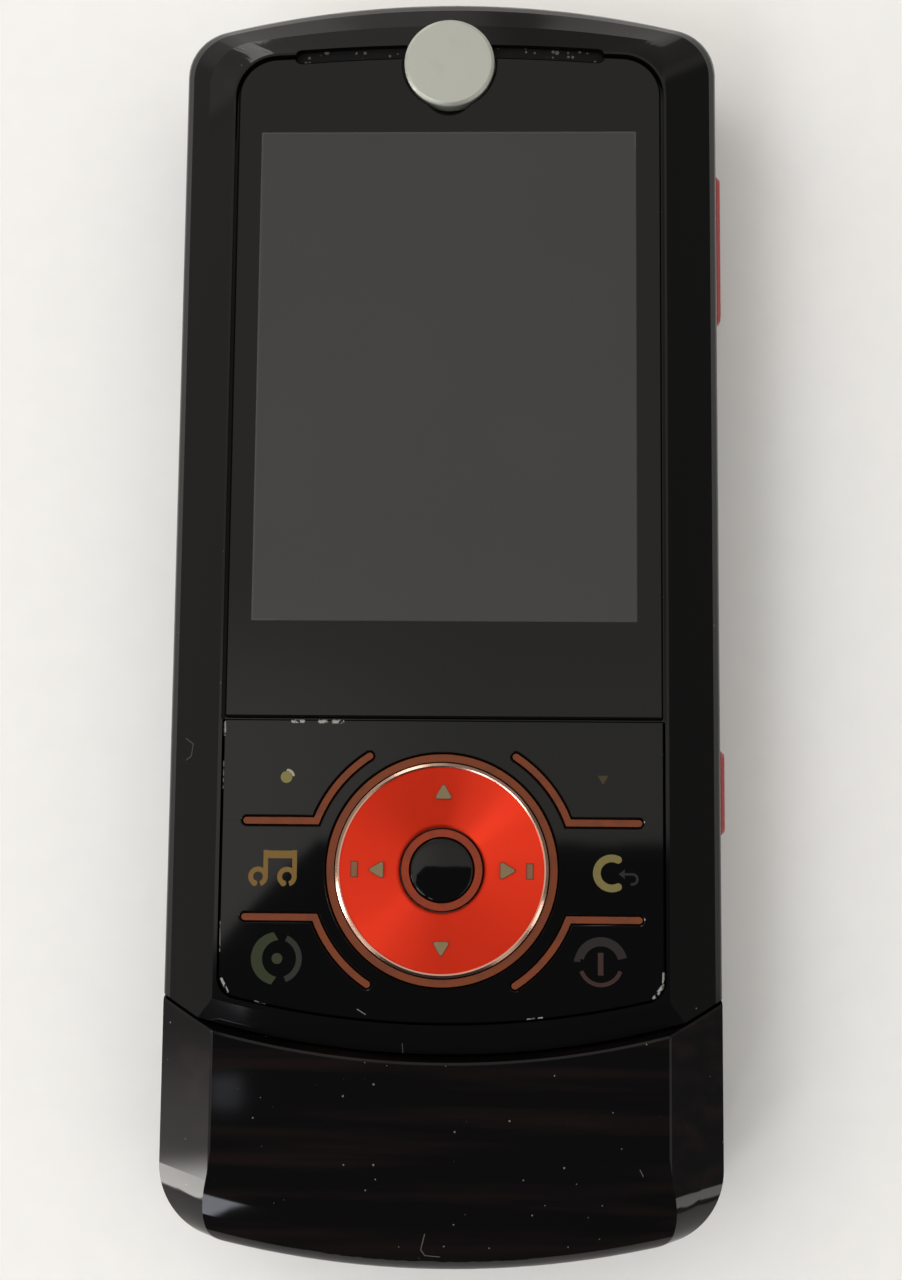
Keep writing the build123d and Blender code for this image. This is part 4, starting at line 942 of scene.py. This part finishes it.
@dataclass
class RoundControls:
    """Four-way ring, its pale bevel, and the select key in its middle.

    The turned face starts inset from the bore, stops margin short of the bevel and
    dips by dish towards the bore. lift keeps the ring off its node's own foot.
    """

    inset: float = 0.25
    margin: float = 0.05
    dish: float = 0.3
    dish_curve: float = 1.3
    pitch: float = 0.12
    groove: float = 0.0012
    bevel_width: float = 0.36
    lift: float = 0.02
    dome: float = 0.06
    edge: float = 0.22
    steps: int = 192

    def ring_profile(self) -> list[Point]:
        """Section of the ring from its bore over the turned face.

        Returns:
            Points of radius and height, as far as the bevel's foot.
        """
        low, high = node_box("nav_ring")
        face = high.z - FACE_DROP
        rim = (high.x - low.x) / 2 - self.bevel_width
        width = rim - RING_BORE - self.inset - self.margin
        points = 4 * int((width - 0.2) / self.pitch)
        profile = [(RING_BORE, low.z + self.lift), (RING_BORE, face - 0.5),
                   (RING_BORE + 0.12, face - 0.36)]
        for i in range(points + 1):
            share = i / points
            dip = self.dish * (1 - share) ** self.dish_curve
            profile.append((RING_BORE + self.inset + width * share,
                            face - dip + self.groove * math.cos(math.tau * i / 4)))
        return profile + [(rim, face + 0.06)]

    def bevel_profile(self) -> list[Point]:
        """Section of the pale bevel line round the ring.

        Returns:
            Points of radius and height.
        """
        low, high = node_box("nav_ring")
        foot = low.z + self.lift
        outer = (high.x - low.x) / 2
        rim = outer - self.bevel_width
        wall = outer - self.lift
        return [(rim, high.z - 0.3), (rim, high.z - 0.06), (rim + 0.12, high.z),
                (wall, high.z - 0.19), (wall, foot), (rim, foot)]

    def build(self) -> None:
        """Makes the ring, its bevel and the select key."""
        mesh = spin_profile(self.ring_profile(), RING_CENTRE, self.steps)
        finish_piece(mesh, "ring_face", "nav_ring", Look.RING, ("nav_ring",))
        profile = self.bevel_profile()
        mesh = spin_profile(profile + profile[:1], RING_CENTRE, self.steps)
        finish_piece(mesh, "ring_bevel", "nav_ring", Look.CHROME)
        self.build_select()

    def build_select(self) -> None:
        """Makes the domed select key."""
        low, high = node_box("select_key")
        radius = (high.x - low.x) / 2
        foot = high.z - self.dome - self.edge
        flat = radius - self.edge
        profile = [(0.0, low.z), (radius, low.z), (radius, foot)]
        profile += arc((flat, foot), self.edge, 0, 90, 8)[1:] + dome(flat, high.z, self.dome)
        mesh = spin_profile(profile, RING_CENTRE, self.steps // 2)
        finish_piece(mesh, "select_dome", "select_key", Look.SELECT, ("select_key",))


@dataclass
class SilverDisc:
    """Plain disc over the earpiece slot, with a bright bevelled edge."""

    centre: Point = (0.0, 46.75)
    chamfer: float = 0.05
    bevel: float = 0.28
    crown: float = 0.04
    steps: int = 128

    def build(self) -> None:
        """Makes the disc by one spin."""
        low, high = node_box("round_disc")
        radius = (high.x - low.x) / 2
        flat = radius - self.bevel
        profile = [(0.0, low.z), (radius - self.chamfer, low.z), (radius, low.z + self.chamfer),
                   (radius, high.z - self.bevel), (radius - 0.06, high.z - self.bevel + 0.1),
                   (flat, high.z - self.crown)]
        profile += dome(flat, high.z, self.crown)
        mesh = spin_profile(profile, self.centre, self.steps)
        finish_piece(mesh, "disc_face", "slider", Look.DISC, ("round_disc",))


@dataclass
class Markings:
    """Thin printed marks: arrows on the ring, icons on the caps and digits on the keys.

    The ring's inks stand ink_rise over their dark edges. Outlines of one mark that overlap
    rise by stagger, so that no two tops coincide.
    """

    thickness: float = 0.02
    stagger: float = 0.004
    edge_width: float = 0.09
    ink_rise: float = 0.025
    corner: float = 0.14
    digit_size: float = 5.2

    def print_on(self, outlines: Sequence[Sequence[Point]], name: str, body: str, look: Look,
                 height: float) -> None:
        """Raises flat outlines a hair over a face, each a little more than the last.

        Args:
            outlines: the mark's outlines.
            name: its name.
            body: the body that it rides on.
            look: its ink.
            height: height of the face that it is printed on.
        """
        mesh = bmesh.new()
        half = self.thickness / 2
        for number, outline in enumerate(outlines):
            raise_outline(mesh, outline, height - half, height + half + self.stagger * number)
        finish_piece(mesh, name, body, look, smooth=False)

    def ring_marks(self) -> None:
        """Four triangles and two bars on the ring, each on a slightly wider dark edge."""
        height = node_box("nav_ring")[1].z - FACE_DROP - self.thickness
        for looks, grow, foot, suffix in (
                ((Look.MARK_EDGE, Look.MARK_EDGE), self.edge_width, height, "_edges"),
                ((Look.MARK_INK, Look.BAR_INK), 0.0, height + self.ink_rise, "")):
            arrows = [rounded_triangle(centre, reach + grow, turn, self.corner)
                      for centre, reach, turn in (
                          ((0.1, -15.5), 0.82, 90), ((0.0, -27.87), 0.8, 270),
                          ((-5.18, -21.72), 0.82, 180), ((5.2, -21.7), 0.84, 0))]
            bars = [bar(centre, 0.44 + 2 * grow, 1.16 + 2 * grow)
                    for centre in ((-7.12, -21.68), (7.16, -21.75))]
            for marks, look, name in zip((arrows, bars), looks, ("ring_arrows", "ring_bars")):
                self.print_on(marks, name + suffix, "nav_ring", look, foot)

    def cap_icons(self) -> None:
        """Icons on the six caps: dots, notes, clear, call and end, and a painted glint on the left
        dot.
        """
        face = node_box("music_key")[1].z
        notes = [
            band((-14.96, -22.35), 0.4, 0.8, -72, 240), round_dot((-15.26, -22.87), 0.25),
            band((-12.6, -22.35), 0.4, 0.8, -72, 240), round_dot((-12.9, -22.87), 0.25),
            bar((-14.35, -21.3), 0.38, 2.2), bar((-11.99, -21.3), 0.38, 2.2),
            bar((-13.17, -20.55), 2.74, 0.62),
        ]
        call = (-13.28, -28.93)
        green = [crescent(call, 2.12, 1.5, 0.28, 98, 258), round_dot(call, 0.44)]
        dim = [band(call, 1.55, 2.02, -68, 66)]
        clear = (13.78, -21.84)
        letter = [band(clear, 0.9, 1.52, 65, 295), round_dot((14.29, -20.743), 0.31),
                  round_dot((14.29, -22.937), 0.31)]
        arrow = [band((15.45, -22.3), 0.3, 0.5, -110, 90), bar((15.05, -21.9), 0.9, 0.2),
                 [(14.35, -21.9), (14.85, -21.5), (14.8, -21.9), (14.85, -22.3)]]
        end = (12.9, -29.1)
        upper = [band(end, 1.42, 2.15, 14, 166), bar((11.0, -28.75), 0.5, 0.36)]
        lower = [band(end, 1.5, 1.83, 200, 340), bar((12.88, -29.1), 0.44, 1.8)]
        for outlines, name, body, look in (
                ([round_dot((-12.79, -14.25), 0.48)], "icon_menu_left", "soft_key_left",
                 Look.MENU_INK),
                # Painted highlight: a pale crescent over the left dot's upper right.
                ([crescent((-12.72, -14.18), 0.6, 0.44, -0.1, 0, 90)], "icon_menu_glint",
                 "soft_key_left", Look.PAINTED_GLINT),
                ([rounded_triangle((13.08, -14.2), 0.5, 270, 0.06)], "icon_menu_right",
                 "soft_key_right", Look.DIM_GOLD_INK),
                (notes, "icon_notes", "music_key", Look.GOLD_INK),
                (green, "icon_call", "send_key", Look.GREEN_INK),
                (dim, "icon_call_half", "send_key", Look.DIM_GREEN_INK),
                (letter, "icon_clear", "clear_key", Look.OLIVE_INK),
                (arrow, "icon_return", "clear_key", Look.GREY_INK),
                (upper, "icon_end_arc", "end_key", Look.GREY_INK),
                (lower, "icon_end_bar", "end_key", Look.MAUVE_INK)):
            lift = self.thickness if look is Look.GREY_INK else 0.0
            self.print_on(outlines, name, body, look, face + lift)

    def digits(self) -> None:
        """Digits, a star and a hash on the number keys, from text made into meshes."""
        for name, sign in (("star", "*"), ("hash", "#"), *((d, d) for d in "0123456789")):
            key = f"key_{name}"
            low, high = node_box(key)
            curve = bpy.data.curves.new(f"sign_{name}", "FONT")
            curve.body = sign
            curve.size = self.digit_size
            curve.extrude = self.thickness / 2
            curve.align_x = curve.align_y = "CENTER"
            holder = add_object("holder", curve)
            bpy.context.view_layer.update()
            data = bpy.data.meshes.new_from_object(holder)
            bpy.data.objects.remove(holder)
            mesh = bmesh.new()
            mesh.from_mesh(data)
            bpy.data.meshes.remove(data)
            place = ((low.x + high.x) / 2, (low.y + high.y) / 2, high.z)
            bmesh.ops.translate(mesh, vec=place, verts=mesh.verts)
            finish_piece(mesh, f"digit_{name}", key, Look.DIGIT_INK, smooth=False)

    def build(self) -> None:
        """Makes every mark."""
        self.ring_marks()
        self.cap_icons()
        self.digits()


# ----- floor, light, camera
@dataclass(frozen=True)
class Viewpoint:
    """The camera, looking almost straight down at the phone.

    Lengths are in millimetres and angles in degrees.
    """

    lens: float = 52.726
    film: float = 36.0
    distance: float = 155.996
    aim: Place = (0.534, -2.695, 14.0)
    tilt: float = 6.845
    turn: float = -1.763
    roll: float = 0.533

    def build(self) -> None:
        """Makes the camera and gives it to the scene."""
        tilt, turn, roll = (math.radians(a) for a in (self.tilt, self.turn, self.roll))
        sight = Vector((math.sin(turn) * math.cos(tilt), math.sin(tilt),
                        -math.cos(tilt) * math.cos(turn))).normalized()
        up = (Vector((0, 1, 0)) - sight.y * sight).normalized()
        right = sight.cross(up)
        across = math.cos(roll) * right + math.sin(roll) * up
        along = math.cos(roll) * up - math.sin(roll) * right
        data = bpy.data.cameras.new("camera")
        data.sensor_fit = "VERTICAL"
        data.sensor_height = self.film
        data.lens = self.lens
        data.clip_start = 0.005
        camera = add_object("camera", data)
        turned = Matrix((across, along, -sight)).transposed().to_4x4()
        spot = (Vector(self.aim) - self.distance * sight) * MM
        camera.matrix_world = Matrix.Translation(spot) @ turned
        bpy.context.scene.camera = camera


@dataclass(frozen=True)
class SoftBox:
    """A rectangular lamp that faces the phone and doesn't mirror in its gloss."""

    name: str
    place: Place
    size: Point
    power: float
    colour: Colour = (1.0, 1.0, 1.0)

    def build(self) -> None:
        """Makes the lamp; its place and size are in metres and its power in watts."""
        data = bpy.data.lights.new(self.name, "AREA")
        data.shape = "RECTANGLE"
        data.size, data.size_y = self.size
        data.energy = self.power
        data.color = self.colour
        lamp = add_object(self.name, data)
        lamp.visible_glossy = False
        lamp.location = self.place
        lamp.rotation_euler = Vector(self.place).to_track_quat("Z", "Y").to_euler()


@dataclass(frozen=True)
class Window:
    """A bright patch of the room, round an azimuth and between two heights."""

    azimuth: float
    half_width: float
    low: float
    high: float
    level: float

    def light(self, x: Field, y: Field, z: Field) -> Field:
        """Light that the window adds in a direction.

        Args:
            x: the direction's share across.
            y: its share along.
            z: its share upwards.

        Returns:
            The window's level inside it, and 0 outside.
        """
        turn = math.radians(self.azimuth)
        ahead = x * math.cos(turn) + y * math.sin(turn)
        aside = abs(y * math.cos(turn) - x * math.sin(turn)) / ahead.most(0.05)
        width = math.tan(math.radians(self.half_width))
        inside = aside.step(width + 0.008, width - 0.008) * ahead.step(0.0, 0.1)
        upright = z.step(self.low - 0.01, self.low + 0.01)
        return inside * upright * z.step(self.high + 0.01, self.high - 0.01) * self.level


@dataclass(frozen=True)
class Surroundings:
    """The room that mirrors in the gloss: pale, dark on the near side, with bright windows."""

    pale: float = 0.74
    overhead: float = 0.75
    overhead_corner: float = 0.45
    overhead_near: float = 0.1
    dark: float = 0.05
    shade_head: float = 0.013
    shade_left: float = 0.101
    shade_right: float = 0.25
    shade_wave: float = 0.015
    left_wall: float = 0.42
    left_near: float = 1.25
    right_wall: float = 0.16
    head_left: float = 0.62
    head_right: float = 0.3
    glint: Point = (-0.147, -0.119)
    glint_level: float = 1.2
    day: Colour = (1.0, 0.97, 0.93)
    dusk: Colour = (0.85, 0.9, 1.0)
    windows: tuple[Window, ...] = (
        Window(196.0, 7.0, 0.02, 0.22, 10.5),
        Window(246.0, 3.7, 0.5, 0.77, 7.0),
        Window(224.0, 10.0, 0.6, 0.85, 6.0),
        Window(222.0, 9.0, 0.1, 0.4, 2.0),
        Window(335.0, 7.0, 0.05, 0.3, 2.5),
        Window(110.0, 8.0, 0.04, 0.3, 2.5),
    )

    def shade(self, across: Field, along: Field, wave: Field) -> Field:
        """The dark side nearest the viewer, with a wavy edge.

        Args:
            across: how far a direction leans across.
            along: how far it leans along.
            wave: the edge's waves.

        Returns:
            1 in the dark and 0 elsewhere.
        """
        near = self.shade_head - along
        reach = near.most(0.0)
        left = across + (reach * 0.9 + self.shade_left)
        right = reach * 0.5 + self.shade_right - across
        edge = near.least(left).least(right) + (wave - 0.5) * self.shade_wave
        return edge.step(-0.003, 0.003)

    def ceiling(self, z: Field, across: Field, along: Field) -> Field:
        """Level of the pale room, brighter overhead towards the near left.

        Args:
            z: a direction's share upwards.
            across: how far it leans across.
            along: how far it leans along.

        Returns:
            The level.
        """
        corner = across.step(0.0, -0.15) * along.step(0.16, 0.06)
        near = along.step(0.14, 0.06)
        above = corner * self.overhead_corner + near * self.overhead_near + self.overhead
        return z.step(0.8, 0.93) * (above - self.pale) + self.pale

    def build(self) -> None:
        """Makes the world."""
        world = bpy.data.worlds.new("surroundings")
        bpy.context.scene.world = world
        world.use_nodes = True
        shader = Shader(world.node_tree)
        direction = shader.node("TexCoord", output="Generated")
        x, y, z = shader.axes(direction)
        up = z.most(0.03)
        across, along = x / up, y / up
        wave = shader.node("TexNoise", None, {"Vector": direction, "Scale": 12.0, "Detail": 3.0})
        shade = self.shade(across, along, wave)
        left = x * -1.0
        wall = z.step(0.32, 0.22)
        head = y.step(0.6, 0.8) * z.step(0.5, 0.4)
        level = self.ceiling(z, across, along)
        for mask, value in (
                (left.step(0.6, 0.8) * wall, self.left_wall),
                (x.step(0.6, 0.8) * wall, self.right_wall),
                (head * x.step(0.03, -0.03), self.head_left),
                (head * x.step(-0.03, 0.03), self.head_right),
                (shade, self.dark),
                (left.step(0.8, 0.9) * wall * y.step(-0.08, -0.13), self.left_near)):
            level = level + mask * (value - level)
        for window in self.windows:
            level = level + window.light(x, y, z)
        beside = abs(across - self.glint[0]).step(0.009, 0.007)
        level = level + beside * abs(along - self.glint[1]).step(0.009, 0.007) * self.glint_level
        tint = shader.mix(shade, self.day, self.dusk)
        sky = shader.node("Background", None, {0: tint, 1: level})
        shader.node("OutputWorld", None, {"Surface": sky})


@dataclass(frozen=True)
class Studio:
    """Pale floor, soft surroundings and lamps."""

    floor: Finish = Finish("floor_board", (0.82, 0.81, 0.785), 0.85, mottle=0.95)
    floor_half: float = 3.0
    boxes: tuple[SoftBox, ...] = (
        SoftBox("sky_left", (-0.65, 0.2, 0.6), (0.9, 0.9), 3.6, (1.0, 0.99, 0.97)),
        SoftBox("sky_above", (0.1, -0.1, 0.95), (1.2, 1.2), 2.5),
    )

    def build(self) -> None:
        """Makes floor, surroundings and lamps."""
        mesh = bmesh.new()
        bmesh.ops.create_grid(mesh, x_segments=1, y_segments=1, size=self.floor_half)
        data = bpy.data.meshes.new("floor")
        mesh.to_mesh(data)
        mesh.free()
        data.materials.append(self.floor.material())
        piece = add_object("floor", data)
        Surroundings().build()
        for box in self.boxes:
            box.build()
        bpy.context.scene.view_settings.view_transform = "Standard"


def dress_nodes() -> None:
    """Gives every CAD node that stays its finish."""
    for look, names in NODE_LOOKS.items():
        for name in names:
            look.on(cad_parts[name])
            log.info("%s: %s", name, look.value.name)


def main() -> None:
    """Builds the phone's looks and the studio."""
    logging.basicConfig(level=logging.INFO, format="%(name)s: %(message)s")
    dress_nodes()
    for part in (KeyCaps(), RoundControls(), SilverDisc(), Markings(), Viewpoint(), Studio()):
        part.build()


if __name__ == "__main__":
    main()
